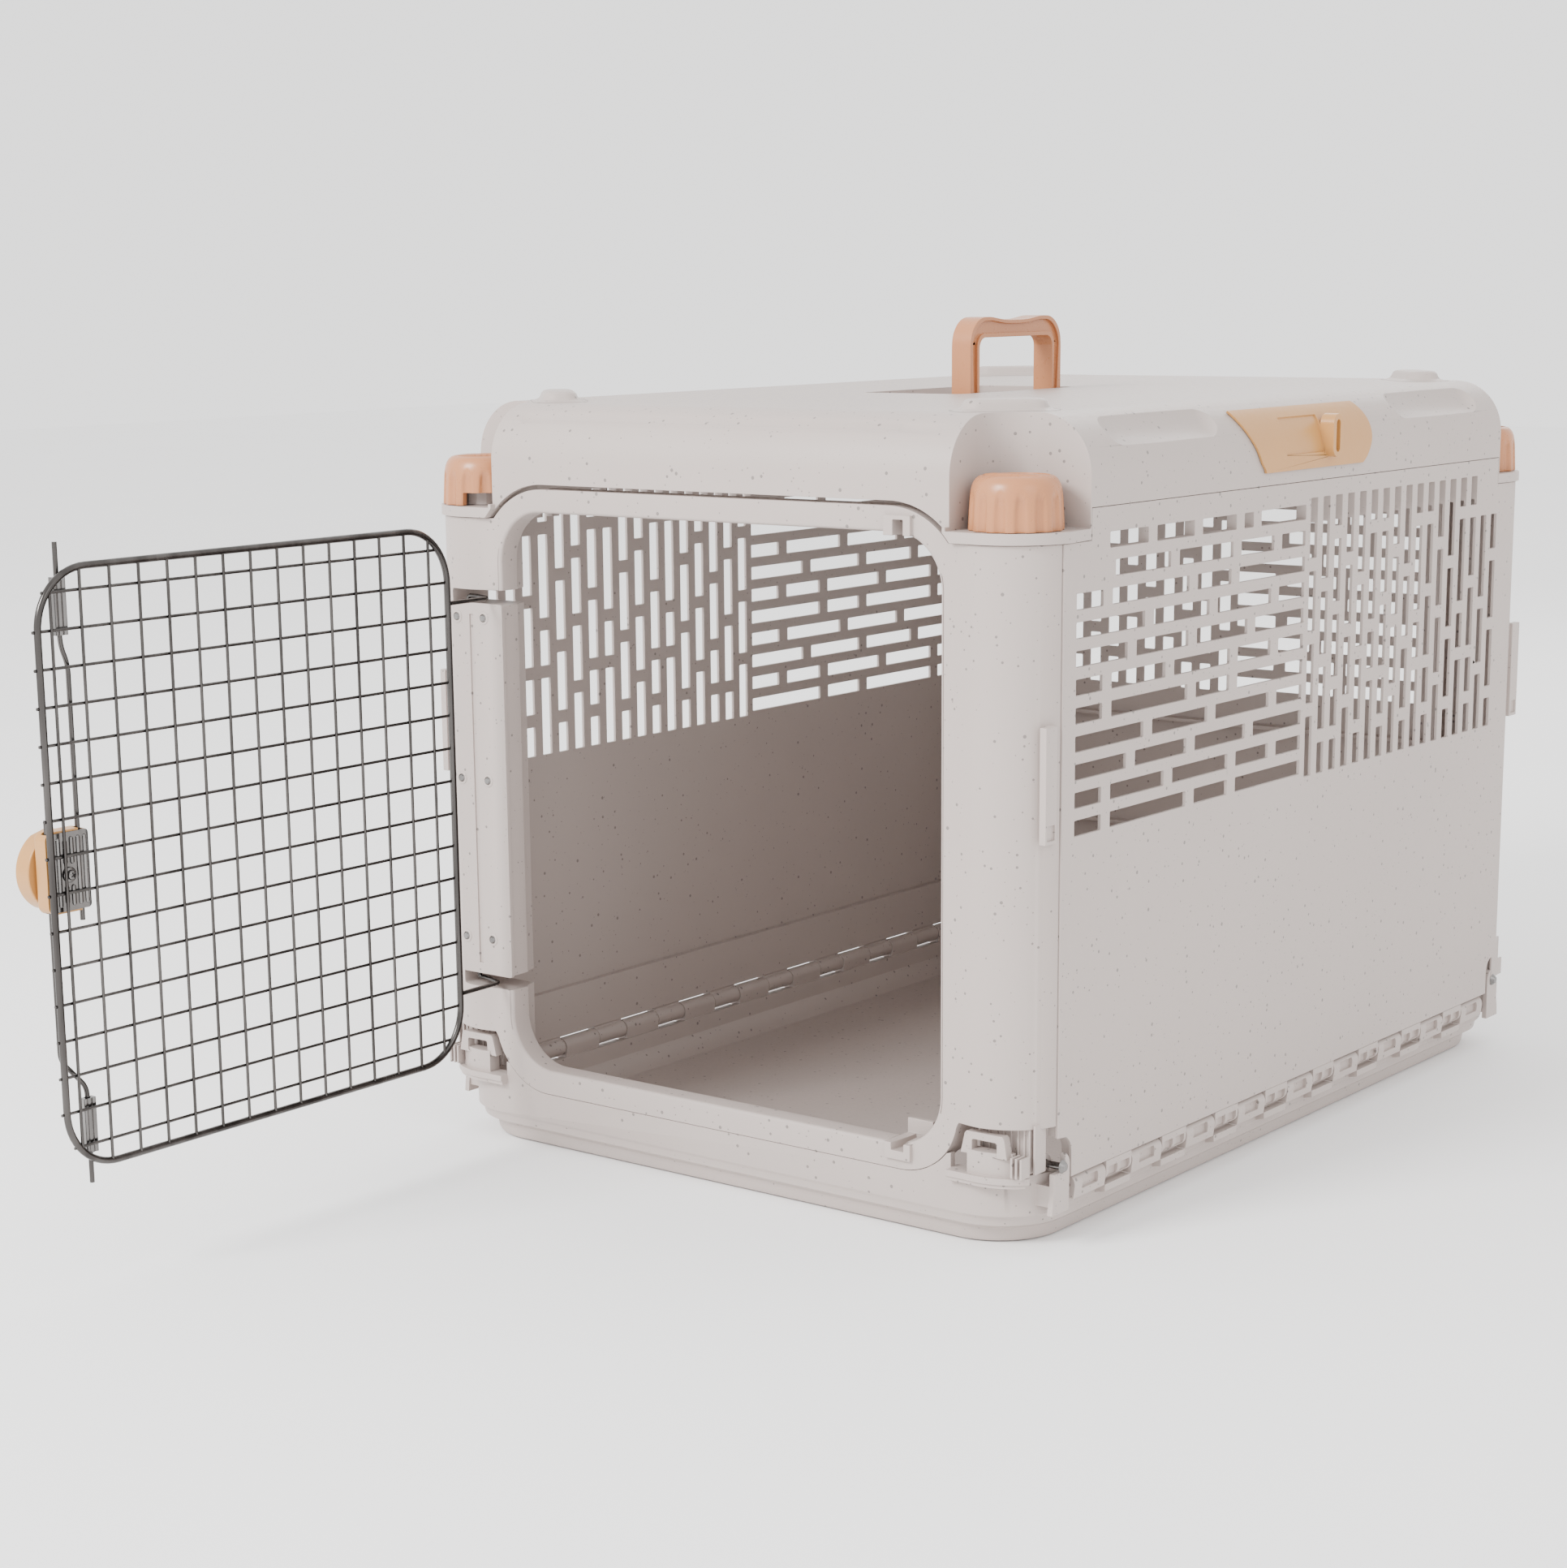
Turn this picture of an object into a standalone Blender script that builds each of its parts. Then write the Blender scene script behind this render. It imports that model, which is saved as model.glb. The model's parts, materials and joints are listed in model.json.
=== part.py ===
"""Collapsible pet transport crate: moulded tray, folding side panels, door frame, rear panel and
lift-off lid, with a wire door on bent hinge rods and a two-rod turn latch.

Metres, +Z up. X runs across the crate, the door faces -Y, and the origin is the middle of the
underside. The door stands open at a right angle.
"""
import math

import bmesh
import bpy
from mathutils import Matrix, Vector

MM = 0.001

# Overall shell
HALF_W = 326 * MM          # outer face of a side panel
HALF_L = 447 * MM          # outer face of the door frame and of the rear panel
SEAM_Y = 411 * MM          # where a side panel meets a corner column
CORNER_R = 52 * MM         # plan radius of a corner column
BULGE_Y = 452 * MM         # a column stands this far out, a little proud of the frame
PANEL_TOP = 595.7 * MM     # top edge of a side panel
COLUMN_TOP = 570.5 * MM    # top of a corner column, under the lid's ledge

# Door opening and frame
OPEN_HALF = 235 * MM
OPEN_LOW = 76 * MM
OPEN_HIGH = 577 * MM
OPEN_R = 45 * MM
BAR_BACK = 424 * MM        # inner face of the frame's top and bottom bars
COLUMN_LOW = 104 * MM

# Side panel hinges
HINGE_X = 317.5 * MM
HINGE_Z = 47.5 * MM
KNUCKLE_PITCH = 90 * MM
BARREL_R = 8.5 * MM
ROD_R = 3 * MM
BORE_R = 3.4 * MM

# Grille: eleven rows of lying slots and seventeen columns of standing slots
GRILLE_LOW = 334 * MM
PITCH = 22.5 * MM
COLUMN_PITCH = 23.04 * MM
SLOT = 12.7 * MM
REAR_SHIFT = 17.3 * MM
REAR_HALF = 0.217
REAR_TOP = 0.5535

# Lid
LID_SIDE_LOW = 596.2 * MM
LID_TOP = 669 * MM
LID_EDGE_R = 48 * MM
LID_WALL = 3.5 * MM
LEDGE_LOW = 571 * MM
LEDGE_HIGH = 580 * MM
NICHE_X = 243 * MM
NICHE_Y = 372.5 * MM
NICHE_R = 38 * MM
KNOB_AT = (283 * MM, 413 * MM)
KNOB_R = 37.5 * MM

# Door: hinge axis, and the door's outline measured from that axis when it is shut
DOOR_AXIS = (-279 * MM, -443.5 * MM)
DOOR_PLANE = 32 * MM
DOOR_X = (59.5 * MM, 502.5 * MM)
DOOR_Z = (93.5 * MM, 565.6 * MM)
LATCH_X = 484 * MM
LATCH_Z = 329 * MM
ROD_LINE = 475 * MM
RACK_OFFSET = 15 * MM
ROD_PLANE = 23.5 * MM

# Carry handle and latch slides
HANDLE_HALF = 89 * MM
HANDLE_AXIS_Z = 655 * MM
LATCH_RUN = (-140 * MM, 98 * MM)

COLOURS = {
    "stone_plastic": ((0.66, 0.62, 0.60), 0.45, 0.0),
    "peach_plastic": ((0.70, 0.41, 0.28), 0.42, 0.0),
    "ochre_plastic": ((0.62, 0.38, 0.20), 0.42, 0.0),
    "wire_chrome": ((0.62, 0.61, 0.60), 0.2, 1.0),
    "plated_steel": ((0.70, 0.69, 0.68), 0.25, 1.0),
}


# ---------------------------------------------------------------- building blocks
def clear_scene():
    for item in list(bpy.data.objects):
        bpy.data.objects.remove(item)
    for group in list(bpy.data.collections):
        bpy.data.collections.remove(group)


def make_collections():
    found = []
    for name in ("pet_transport_carrier", "cutters"):
        group = bpy.data.collections.new(name)
        bpy.context.scene.collection.children.link(group)
        found.append(group)
    return found


def material(name, slot):
    colour, rough, metal = COLOURS[slot]
    made = bpy.data.materials.new(f"{slot}.{name}")
    made.use_nodes = True
    shader = made.node_tree.nodes["Principled BSDF"]
    shader.inputs["Base Color"].default_value = (*colour, 1.0)
    shader.inputs["Roughness"].default_value = rough
    shader.inputs["Metallic"].default_value = metal
    return made


def to_mesh(bm, name="shape"):
    mesh = bpy.data.meshes.new(name)
    bmesh.ops.recalc_face_normals(bm, faces=bm.faces[:])
    bm.to_mesh(mesh)
    bm.free()
    return mesh


def box(low, high):
    bm = bmesh.new()
    bmesh.ops.create_cube(bm, size=1)
    size = [b - a for a, b in zip(low, high)]
    middle = [(a + b) / 2 for a, b in zip(low, high)]
    bmesh.ops.scale(bm, vec=size, verts=bm.verts[:])
    bmesh.ops.translate(bm, vec=middle, verts=bm.verts[:])
    return to_mesh(bm)


def rod(start, end, radius, sides=16, end_radius=None):
    """A cylinder or cone between two points."""
    start = Vector(start)
    end = Vector(end)
    bm = bmesh.new()
    bmesh.ops.create_cone(bm, cap_ends=True, segments=sides, radius1=radius,
                          radius2=radius if end_radius is None else end_radius,
                          depth=(end - start).length)
    turn = (end - start).to_track_quat("Z", "Y").to_matrix().to_4x4()
    bmesh.ops.transform(bm, matrix=Matrix.Translation((start + end) / 2) @ turn, verts=bm.verts[:])
    return to_mesh(bm)


def capsule(start, end, radius, sides=12):
    """A cylinder along Y with half-round ends."""
    bm = bmesh.new()
    bmesh.ops.create_uvsphere(bm, u_segments=sides, v_segments=6, radius=radius)
    bmesh.ops.rotate(bm, matrix=Matrix.Rotation(math.pi / 2, 3, "X"), verts=bm.verts[:])
    middle = (Vector(start) + Vector(end)) / 2
    half = abs(end[1] - start[1]) / 2
    for vert in bm.verts:
        if vert.co.y > 1e-6:
            vert.co.y += half
        elif vert.co.y < -1e-6:
            vert.co.y -= half
    bmesh.ops.translate(bm, vec=middle, verts=bm.verts[:])
    return to_mesh(bm)


AXES = {
    "X": Matrix(((0, 0, 1, 0), (1, 0, 0, 0), (0, 1, 0, 0), (0, 0, 0, 1))),
    "Y": Matrix(((1, 0, 0, 0), (0, 0, -1, 0), (0, 1, 0, 0), (0, 0, 0, 1))),
    "Z": Matrix.Identity(4),
}


def plate(axis, outline, low, high, holes=()):
    """A flat outline with holes, extruded along an axis. X takes (y, z), Y takes (x, z), Z takes (x, y)."""
    curve = bpy.data.curves.new("outline", "CURVE")
    curve.dimensions = "2D"
    curve.fill_mode = "BOTH"
    curve.extrude = (high - low) / 2
    for loop in (outline, *holes):
        spline = curve.splines.new("POLY")
        spline.points.add(len(loop) - 1)
        for point, (u, v) in zip(spline.points, loop):
            point.co = (u, v, 0, 1)
        spline.use_cyclic_u = True
    guide = bpy.data.objects.new("outline", curve)
    bpy.context.scene.collection.objects.link(guide)
    bpy.context.view_layer.update()
    seen = guide.evaluated_get(bpy.context.evaluated_depsgraph_get())
    mesh = bpy.data.meshes.new_from_object(seen)
    bpy.data.objects.remove(guide)
    bm = bmesh.new()
    bm.from_mesh(mesh)
    bmesh.ops.remove_doubles(bm, verts=bm.verts[:], dist=1e-6)
    bmesh.ops.dissolve_limit(bm, angle_limit=1e-3, verts=bm.verts[:], edges=bm.edges[:])
    middle = (low + high) / 2
    shift = {"X": (middle, 0, 0), "Y": (0, middle, 0), "Z": (0, 0, middle)}[axis]
    bmesh.ops.transform(bm, matrix=Matrix.Translation(shift) @ AXES[axis], verts=bm.verts[:])
    return to_mesh(bm)


def wire(points, radius, resolution=2):
    """A bent wire with filled ends, as a mesh."""
    curve = bpy.data.curves.new("wire", "CURVE")
    curve.dimensions = "3D"
    curve.bevel_depth = radius
    curve.bevel_resolution = resolution
    curve.use_fill_caps = True
    spline = curve.splines.new("POLY")
    spline.points.add(len(points) - 1)
    for point, place in zip(spline.points, points):
        point.co = (*place, 1)
    guide = bpy.data.objects.new("wire", curve)
    bpy.context.scene.collection.objects.link(guide)
    bpy.context.view_layer.update()
    seen = guide.evaluated_get(bpy.context.evaluated_depsgraph_get())
    mesh = bpy.data.meshes.new_from_object(seen)
    bpy.data.objects.remove(guide)
    bm = bmesh.new()
    bm.from_mesh(mesh)
    bmesh.ops.remove_doubles(bm, verts=bm.verts[:], dist=1e-6)
    return to_mesh(bm)


def arc(centre, radius, start, end, steps):
    """Points on an arc, both ends included, angles in degrees."""
    found = []
    for i in range(steps + 1):
        angle = math.radians(start + (end - start) * i / steps)
        found.append((centre[0] + radius * math.cos(angle), centre[1] + radius * math.sin(angle)))
    return found


def rounded(x0, x1, y0, y1, radius, steps=4):
    """A rounded rectangle, counter-clockwise."""
    found = []
    for cx, cy, start in ((x1 - radius, y0 + radius, -90), (x1 - radius, y1 - radius, 0),
                          (x0 + radius, y1 - radius, 90), (x0 + radius, y0 + radius, 180)):
        found += arc((cx, cy), radius, start, start + 90, steps)
    return found


def loft(sections):
    """A closed body through rounded rectangles: (half x, half y, radius, z) from the bottom up."""
    bm = bmesh.new()
    rings = []
    for half_x, half_y, radius, z in sections:
        loop = rounded(-half_x, half_x, -half_y, half_y, radius, 5)
        rings.append([bm.verts.new((x, y, z)) for x, y in loop])
    for lower, upper in zip(rings, rings[1:]):
        for i, vert in enumerate(lower):
            after = (i + 1) % len(lower)
            bm.faces.new((vert, lower[after], upper[after], upper[i]))
    bm.faces.new(rings[0][::-1])
    bm.faces.new(rings[-1])
    return to_mesh(bm)


def moved(mesh, matrix):
    copy = mesh.copy()
    copy.transform(matrix)
    if matrix.determinant() < 0:
        copy.flip_normals()
    return copy


def mirrored(mesh, x=1, y=1):
    return moved(mesh, Matrix.Diagonal((x, y, 1, 1)))


def corners(mesh):
    """The same shape at all four corners, from the one at +X -Y."""
    return [mirrored(mesh, x, y) for x in (1, -1) for y in (1, -1)]


def together(meshes):
    """Separate bodies in one mesh."""
    bm = bmesh.new()
    for mesh in meshes:
        bm.from_mesh(mesh)
    joined = bpy.data.meshes.new("group")
    bm.to_mesh(joined)
    bm.free()
    return joined


def helper(mesh):
    """A hidden body that another body is joined with or cut by."""
    made = bpy.data.objects.new("cutter", mesh)
    CUTTERS.objects.link(made)
    made.hide_render = True
    made.display_type = "WIRE"
    return made


def combine(owner, operation, tool):
    change = owner.modifiers.new(operation.lower(), "BOOLEAN")
    change.operation = operation
    change.solver = "EXACT"
    change.object = tool if isinstance(tool, bpy.types.Object) else helper(tool)


def node(name, slot, mesh, join=(), cut=(), origin=(0, 0, 0), parent=None):
    """One named sub-part. The mesh is given in crate coordinates, or in the parent's when it has one."""
    mesh = moved(mesh, Matrix.Translation(-Vector(origin)))
    mesh.name = name
    made = bpy.data.objects.new(name, mesh)
    CRATE.objects.link(made)
    made.location = origin
    made.parent = parent
    made.data.materials.append(material(name, slot))
    for operation, tools in (("UNION", join), ("DIFFERENCE", cut)):
        for tool in tools:
            if parent is not None and not isinstance(tool, bpy.types.Object):
                tool = helper(tool)
                tool.parent = parent
            combine(made, operation, tool)
    made.data.shade_smooth()
    made.data.set_sharp_from_angle(angle=math.radians(30))
    return made


# ---------------------------------------------------------------- tray
def wall_curve(radius, centre, side):
    """Lower edge of the door frame from its sill up to a column, on one side."""
    points = arc(centre, radius, -90, -8, 7)
    return points if side > 0 else [(-x, z) for x, z in points[::-1]]


def knuckle_centres(count):
    return [(-(count - 1) / 2 + i) * KNUCKLE_PITCH for i in range(count)]


def knuckles(side, count, length, profile):
    """Hinge knuckles as prisms along Y, from a profile in (x, z) for the +X side."""
    outline = [(side * x, z) for x, z in profile]
    return together([plate("Y", outline, y - length / 2, y + length / 2) for y in knuckle_centres(count)])


def boxes_along(side, count, length, x_range, z_range):
    found = []
    for y in knuckle_centres(count):
        low_x, high_x = sorted(side * x for x in x_range)
        found.append(box((low_x, y - length / 2, z_range[0]), (high_x, y + length / 2, z_range[1])))
    return found


def corner_outline(grow, inner_x, inner_y, edge_y):
    """Plan outline of a corner at +X -Y: straight inner edges and the column's round outer corner."""
    radius = CORNER_R + grow
    centre = (HALF_W - CORNER_R, -(BULGE_Y - CORNER_R))
    reach = (inner_y - centre[1]) / radius
    if reach < 0:
        return [(inner_x, inner_y), (inner_x, edge_y),
                *arc(centre, radius, -100, math.degrees(math.asin(reach)), 6)]
    return [(inner_x, inner_y), (inner_x, edge_y), *arc(centre, radius, -100, -4, 8), (HALF_W, inner_y)]


def base_tray():
    shell = loft([
        (300 * MM, 430 * MM, 58 * MM, 0), (303 * MM, 433 * MM, 60 * MM, 3 * MM),
        (305 * MM, 435 * MM, 62 * MM, 14 * MM), (313 * MM, 443 * MM, 60 * MM, 20 * MM),
        (316 * MM, 446.5 * MM, 58 * MM, 40 * MM), (316 * MM, 446.5 * MM, 58 * MM, 77 * MM)])
    inside = loft([
        (297 * MM, 427 * MM, 54 * MM, 4 * MM), (300 * MM, 430 * MM, 55 * MM, 15 * MM),
        (308 * MM, 438 * MM, 55 * MM, 22 * MM), (311 * MM, 441 * MM, 54 * MM, 90 * MM)])
    arc_centre = (196 * MM, 112.5 * MM)
    above = [(-330 * MM, 62 * MM), (-246 * MM, 62 * MM), (-246 * MM, 76.5 * MM),
             *[p for p in wall_curve(59 * MM, arc_centre, -1) if p[1] < 76.5 * MM],
             *[p for p in wall_curve(59 * MM, arc_centre, 1) if p[1] < 76.5 * MM],
             (246 * MM, 76.5 * MM), (246 * MM, 62 * MM), (330 * MM, 62 * MM),
             (330 * MM, 130 * MM), (-330 * MM, 130 * MM)]
    trims = [plate("Y", above, -0.5, 0.5)]
    trims += [box((s * 0.35 if s < 0 else 0.29, -0.3915, 0.038), (-0.29 if s < 0 else 0.35, 0.3915, 0.13))
              for s in (-1, 1)]
    shelf = plate("Z", corner_outline(2 * MM, 0.246, -0.436, -0.4535), 60 * MM, 64 * MM)
    lock_box = plate("Z", corner_outline(-2 * MM, 0.264, -0.437, -0.4495), 63 * MM, 84 * MM)
    lock_box_end = box((0.316, -0.46, 0.0645), (0.34, -0.40, 0.09))
    tab = plate("Y", [(0.258, 0.080), (0.302, 0.080), (0.299, 0.099), (0.261, 0.099)],
                -0.448, -0.440, holes=[rounded(0.273, 0.295, 0.0845, 0.0925, 1.5 * MM, 2)])
    cheek_shape = [(-0.4165, 0.030), (-0.3925, 0.030),
                   *arc((-0.4045, 0.069), 11.5 * MM, 0, 180, 8)]
    outer_cheek = plate("X", cheek_shape, 0.3215, 0.3265)
    inner_cheek = plate("X", cheek_shape, 0.290, 0.295)
    foot = box((0.288, -0.4165, 0.022), (0.3255, -0.3925, 0.054))
    joins = [together(corners(shelf)), together(corners(foot)),
             together(corners(outer_cheek) + corners(inner_cheek)),
             together(corners(lock_box)), together(corners(tab))]
    cuts = [together(corners(lock_box_end)),
            together(corners(rod((0.28, -0.4045, 0.069), (0.34, -0.4045, 0.069), 3.4 * MM)))]
    for side in (-1, 1):
        barrel = [(0.3105, 0.036), (0.3245, 0.036), *arc((HINGE_X, HINGE_Z), BARREL_R, 0, 180, 7)]
        joins.append(knuckles(side, 9, 48 * MM, barrel))
        joins.append(together(boxes_along(side, 8, 40 * MM, (0.3105, 0.3245), (0.030, 0.036))))
        cuts.append(rod((side * HINGE_X, -0.395, HINGE_Z), (side * HINGE_X, 0.395, HINGE_Z), BORE_R, 8))
    body = helper(shell)
    for tool in trims + [inside]:
        combine(body, "DIFFERENCE", tool)
    bpy.context.view_layer.update()
    seen = body.evaluated_get(bpy.context.evaluated_depsgraph_get())
    return node("base_tray", "stone_plastic", bpy.data.meshes.new_from_object(seen), joins, cuts)


# ---------------------------------------------------------------- side panels
def slot_runs(start, end, bars, bar):
    """Slots between two ends, parted by bars of one width."""
    lows = [start] + [b + bar / 2 for b in bars]
    highs = [b - bar / 2 for b in bars] + [end]
    return list(zip(lows, highs))


def lying_slots():
    """Brick pattern of the lying slots, from the foot up, in pitches from the grille's middle."""
    courses = ((-15.34, -9.4, -6.3), (-15.34, -11.0, -6.3, -3.15), (-13.67, -9.4, -5.0), (-12.5, -7.9, -3.2))
    rows = [slot_runs(-17.4, -0.87, courses[row % 4], 0.62) for row in range(9)]
    rows.append(slot_runs(-14.85, -0.87, (-10.75, -6.2, -3.05), 0.62))
    rows.append(slot_runs(-15.25, -0.87, (-12.35, -9.1, -6.0, -4.7), 0.6))
    return rows


def standing_slots():
    """Brick pattern of the standing slots, in pitches above the grille's foot."""
    courses = ((2.65, 5.5, 8.37), (1.5, 4.5, 7.5), (3.5, 5.5, 9.5), (1.5, 3.5, 6.5, 9.5))
    order = [0, 1, 3] + [column % 4 for column in range(14)]
    columns = []
    for column, course in enumerate(order):
        top = 10.97 if column < 15 else 9.25
        columns.append(slot_runs(0.0, top, [b for b in courses[course] if b < top - 1], 0.53))
    return columns


def grille_slots():
    """Every slot of a side grille as (near, far, low, high), lying slots on the near side."""
    slots = []
    for row, runs in enumerate(lying_slots()):
        low = GRILLE_LOW + 3.9 * MM + row * PITCH
        slots += [(start * PITCH, end * PITCH, low, low + SLOT) for start, end in runs]
    for column, runs in enumerate(standing_slots()):
        near = -10.7 * MM + column * COLUMN_PITCH
        slots += [(near, near + SLOT, GRILLE_LOW + low * PITCH, GRILLE_LOW + high * PITCH) for low, high in runs]
    return slots


def rear_grille_cutter():
    """The side grille's pattern moved over, cropped to the rear wall and seen from behind."""
    blocks = []
    for near, far, low, high in grille_slots():
        start = max(near + REAR_SHIFT, -REAR_HALF)
        end = min(far + REAR_SHIFT, REAR_HALF)
        top = min(high, REAR_TOP)
        if end - start > 8 * MM and top - low > 8 * MM:
            blocks.append(box((-end, 0.435, low), (-start, 0.460, top)))
    return together(blocks)


def grille_cutter(side, turn):
    """All slots of a panel as one group of cutting blocks, lying slots towards -Y before the turn."""
    blocks = []
    for near, far, low, high in grille_slots():
        y = sorted((turn * near, turn * far))
        x = sorted((side * 0.300, side * 0.335))
        blocks.append(box((x[0], y[0], low), (x[1], y[1], high)))
    return together(blocks)


def panel_outline(inset):
    """Outline of a side panel in (y, z), with its corners cut for the lid ledges and the pivot cheeks."""
    edge = 0.4106 - inset
    top = PANEL_TOP - inset
    step_y = 0.3704 - inset
    step_z = COLUMN_TOP - inset
    low = 0.057 + inset
    half = [(0.390 - inset, low),
            *arc((0.4045, 0.079), 14.5 * MM + inset, 180, 115, 3), (edge, 0.0935 + inset),
            (edge, step_z), (step_y, step_z), (step_y, top)]
    return half + [(-y, z) for y, z in half[::-1]]


def side_panel(name, side, turn):
    outer = sorted((side * HALF_W, side * (HALF_W - 3 * MM)))
    inner = sorted((side * (HALF_W - 1 * MM), side * (HALF_W - 10 * MM)))
    skin = plate("X", panel_outline(0), *outer)
    rim_hole = rounded(-0.3995, 0.3995, 0.105, 0.5585, 8 * MM, 3)
    rim = plate("X", panel_outline(0.8 * MM), *inner, holes=[rim_hole])
    barrel = [*arc((HINGE_X, HINGE_Z), 8.2 * MM, 97, 360, 9), (0.3254, 0.064), (0.3165, 0.064)]
    windows = boxes_along(side, 8, 33 * MM, (0.3222, 0.335), (0.0425, 0.0508))
    bore = rod((side * HINGE_X, -0.36, HINGE_Z), (side * HINGE_X, 0.36, HINGE_Z), BORE_R, 8)
    return node(name, "stone_plastic", skin,
                [rim, knuckles(side, 8, 40 * MM, barrel)],
                [bore, together(windows), grille_cutter(side, turn)], origin=(side * HINGE_X, 0, HINGE_Z))


# ---------------------------------------------------------------- end panels
def frame_outline():
    """Front view of an end panel in (x, z): sill, columns cut short at the foot, arched top."""
    foot = wall_curve(58.5 * MM, (196 * MM, 112.5 * MM), 1)
    foot = [p for p in foot if p[1] < COLUMN_LOW]
    shoulder = [p for p in arc((185 * MM, 523.5 * MM), 74 * MM, 20, 90, 7) if p[1] > COLUMN_TOP]
    half = [*foot, (0.2555, COLUMN_LOW), (0.340, COLUMN_LOW), (0.340, COLUMN_TOP),
            (0.2425, COLUMN_TOP), *shoulder]
    return half + [(-x, z) for x, z in half[::-1]]


def plan_outline(back_in, inner_half):
    """Plan of an end panel at -Y: flat middle, round corners a little proud, thinner between the columns."""
    centre = (HALF_W - CORNER_R, -(BULGE_Y - CORNER_R))
    half = [(0.236, -HALF_L), (0.252, -0.4495), *arc(centre, CORNER_R, -100, -13, 7),
            (0.3246, -SEAM_Y), (inner_half, -SEAM_Y), (inner_half - 4 * MM, back_in)]
    return half + [(-x, y) for x, y in half[::-1]]


def end_panel_parts(end):
    """Pieces shared by both end panels, end = 1 at the door and -1 at the rear."""
    outline = frame_outline()
    plan = moved(plate("Z", plan_outline(-BAR_BACK, 0.242), 0.0, 0.62), Matrix.Identity(4))
    hollow_loop = [(0.249, -0.395), (0.249, -0.4445), *arc((HALF_W - CORNER_R, -0.400), 48 * MM, -100, -9, 6),
                   (0.3214, -0.395)]
    hollow = plate("Z", hollow_loop, 0.112, 0.562)
    foot = box((0.264, -0.431, 0.0665), (0.311, -0.4175, 0.108))
    lug = plate("X", [(-0.4205, 0.080), (-0.4205, 0.0675), *arc((-0.4045, 0.069), 8 * MM, -60, 90, 6)],
                0.2985, 0.311)
    pin_bore = rod((0.29, -0.4045, 0.069), (0.32, -0.4045, 0.069), 3.4 * MM)
    x = KNOB_AT[0]
    y = -KNOB_AT[1]
    peg_root = box((x - 6 * MM, y - 8 * MM, 0.564), (x + 6 * MM, -SEAM_Y - 0.3 * MM, 0.573))
    peg = [box((x - 10 * MM, y - 4.5 * MM, 0.5885), (x + 10 * MM, y + 4.5 * MM, 0.592)),
           rod((x, y, 0.5708), (x, y, 0.590), 4.5 * MM, 10)]
    return [outline] + [mirrored(m, 1, end) for m in (plan, hollow, foot, lug, pin_bore, peg_root, *peg)]


def both_sides(mesh):
    return together([mesh, mirrored(mesh, -1, 1)])


def intersected(mesh, tool):
    body = helper(mesh)
    combine(body, "INTERSECT", tool)
    bpy.context.view_layer.update()
    seen = body.evaluated_get(bpy.context.evaluated_depsgraph_get())
    return bpy.data.meshes.new_from_object(seen)


def front_panel():
    outline, plan, hollow, foot, lug, pin_bore, *pegs = end_panel_parts(1)
    opening = rounded(-OPEN_HALF, OPEN_HALF, OPEN_LOW, OPEN_HIGH, OPEN_R, 5)
    front = plate("Y", outline, -0.46, -0.40, holes=[opening])
    body = intersected(front, plan)
    keeper_x = (0.182, 0.208)
    sill_keeper = box((keeper_x[0], -0.4505, 0.0625), (keeper_x[1], -0.4120, 0.0765))
    sill_stop = box((keeper_x[0], -0.4167, 0.0625), (keeper_x[1], -0.4120, 0.089))
    top_keeper = box((keeper_x[0], -0.4505, 0.5745), (keeper_x[1], -0.4120, 0.5905))
    rod_x = DOOR_AXIS[0] + ROD_LINE
    rod_path = box((rod_x - 5 * MM, -0.46, 0.56), (rod_x + 5 * MM, -0.4162, 0.587))
    notches = [box((-0.293, -0.470, z), (-0.222, -0.40, z + 13 * MM)) for z in (0.145, 0.494)]
    seat = box((-0.293, -0.470, 0.1565), (-0.2325, -0.4463, 0.4955))
    groove = box((-0.2835, -0.450, 0.150), (-0.2745, -0.4395, 0.500))
    return node("front_panel", "stone_plastic", body,
                [both_sides(foot), both_sides(lug), sill_keeper, sill_stop, top_keeper,
                 *[both_sides(peg) for peg in pegs]],
                [hollow, both_sides(pin_bore), rod_path, together(notches), seat, groove])


def rear_panel():
    outline, plan, hollow, foot, lug, pin_bore, *pegs = end_panel_parts(-1)
    back = plate("Y", outline, 0.40, 0.46)
    body = intersected(back, plan)
    recess = plate("Y", rounded(-0.231, 0.231, 0.066, 0.583, 30 * MM, 4), 0.40, 0.4435)
    panel_hollow = both_sides(hollow)
    ribs = together([box((-0.232, 0.4305, z - 2 * MM), (0.232, 0.4440, z + 2 * MM))
                     for z in (0.18, 0.30)])
    made = node("rear_panel", "stone_plastic", body, [], [recess, panel_hollow])
    for tool in (both_sides(foot), both_sides(lug), ribs, *[both_sides(peg) for peg in pegs]):
        combine(made, "UNION", tool)
    combine(made, "DIFFERENCE", both_sides(pin_bore))
    combine(made, "DIFFERENCE", rear_grille_cutter())
    return made


# ---------------------------------------------------------------- lid
def lid_sections(shrink, low):
    base_z = LID_TOP - LID_EDGE_R
    found = [(HALF_W - shrink, HALF_L - shrink, CORNER_R - shrink, low),
             (HALF_W - shrink, HALF_L - shrink, CORNER_R - shrink, base_z)]
    steps = 6
    for i in range(1, steps + 1):
        angle = math.pi / 2 * i / steps
        inset = LID_EDGE_R - (LID_EDGE_R - shrink) * math.cos(angle)
        found.append((HALF_W - inset, HALF_L - inset, max(CORNER_R - inset, 5 * MM),
                      base_z + (LID_EDGE_R - shrink) * math.sin(angle)))
    return found


def niche(grow, low, high):
    """The upright pocket that a knob stands in, at +X -Y, widened by grow."""
    x = NICHE_X - grow
    y = -(NICHE_Y - grow)
    radius = NICHE_R + grow
    loop = [(x, -0.50), (0.36, -0.50), (0.36, y), *arc((x + radius, y - radius), radius, 90, 180, 6)]
    return plate("Z", loop, low, high)


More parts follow.
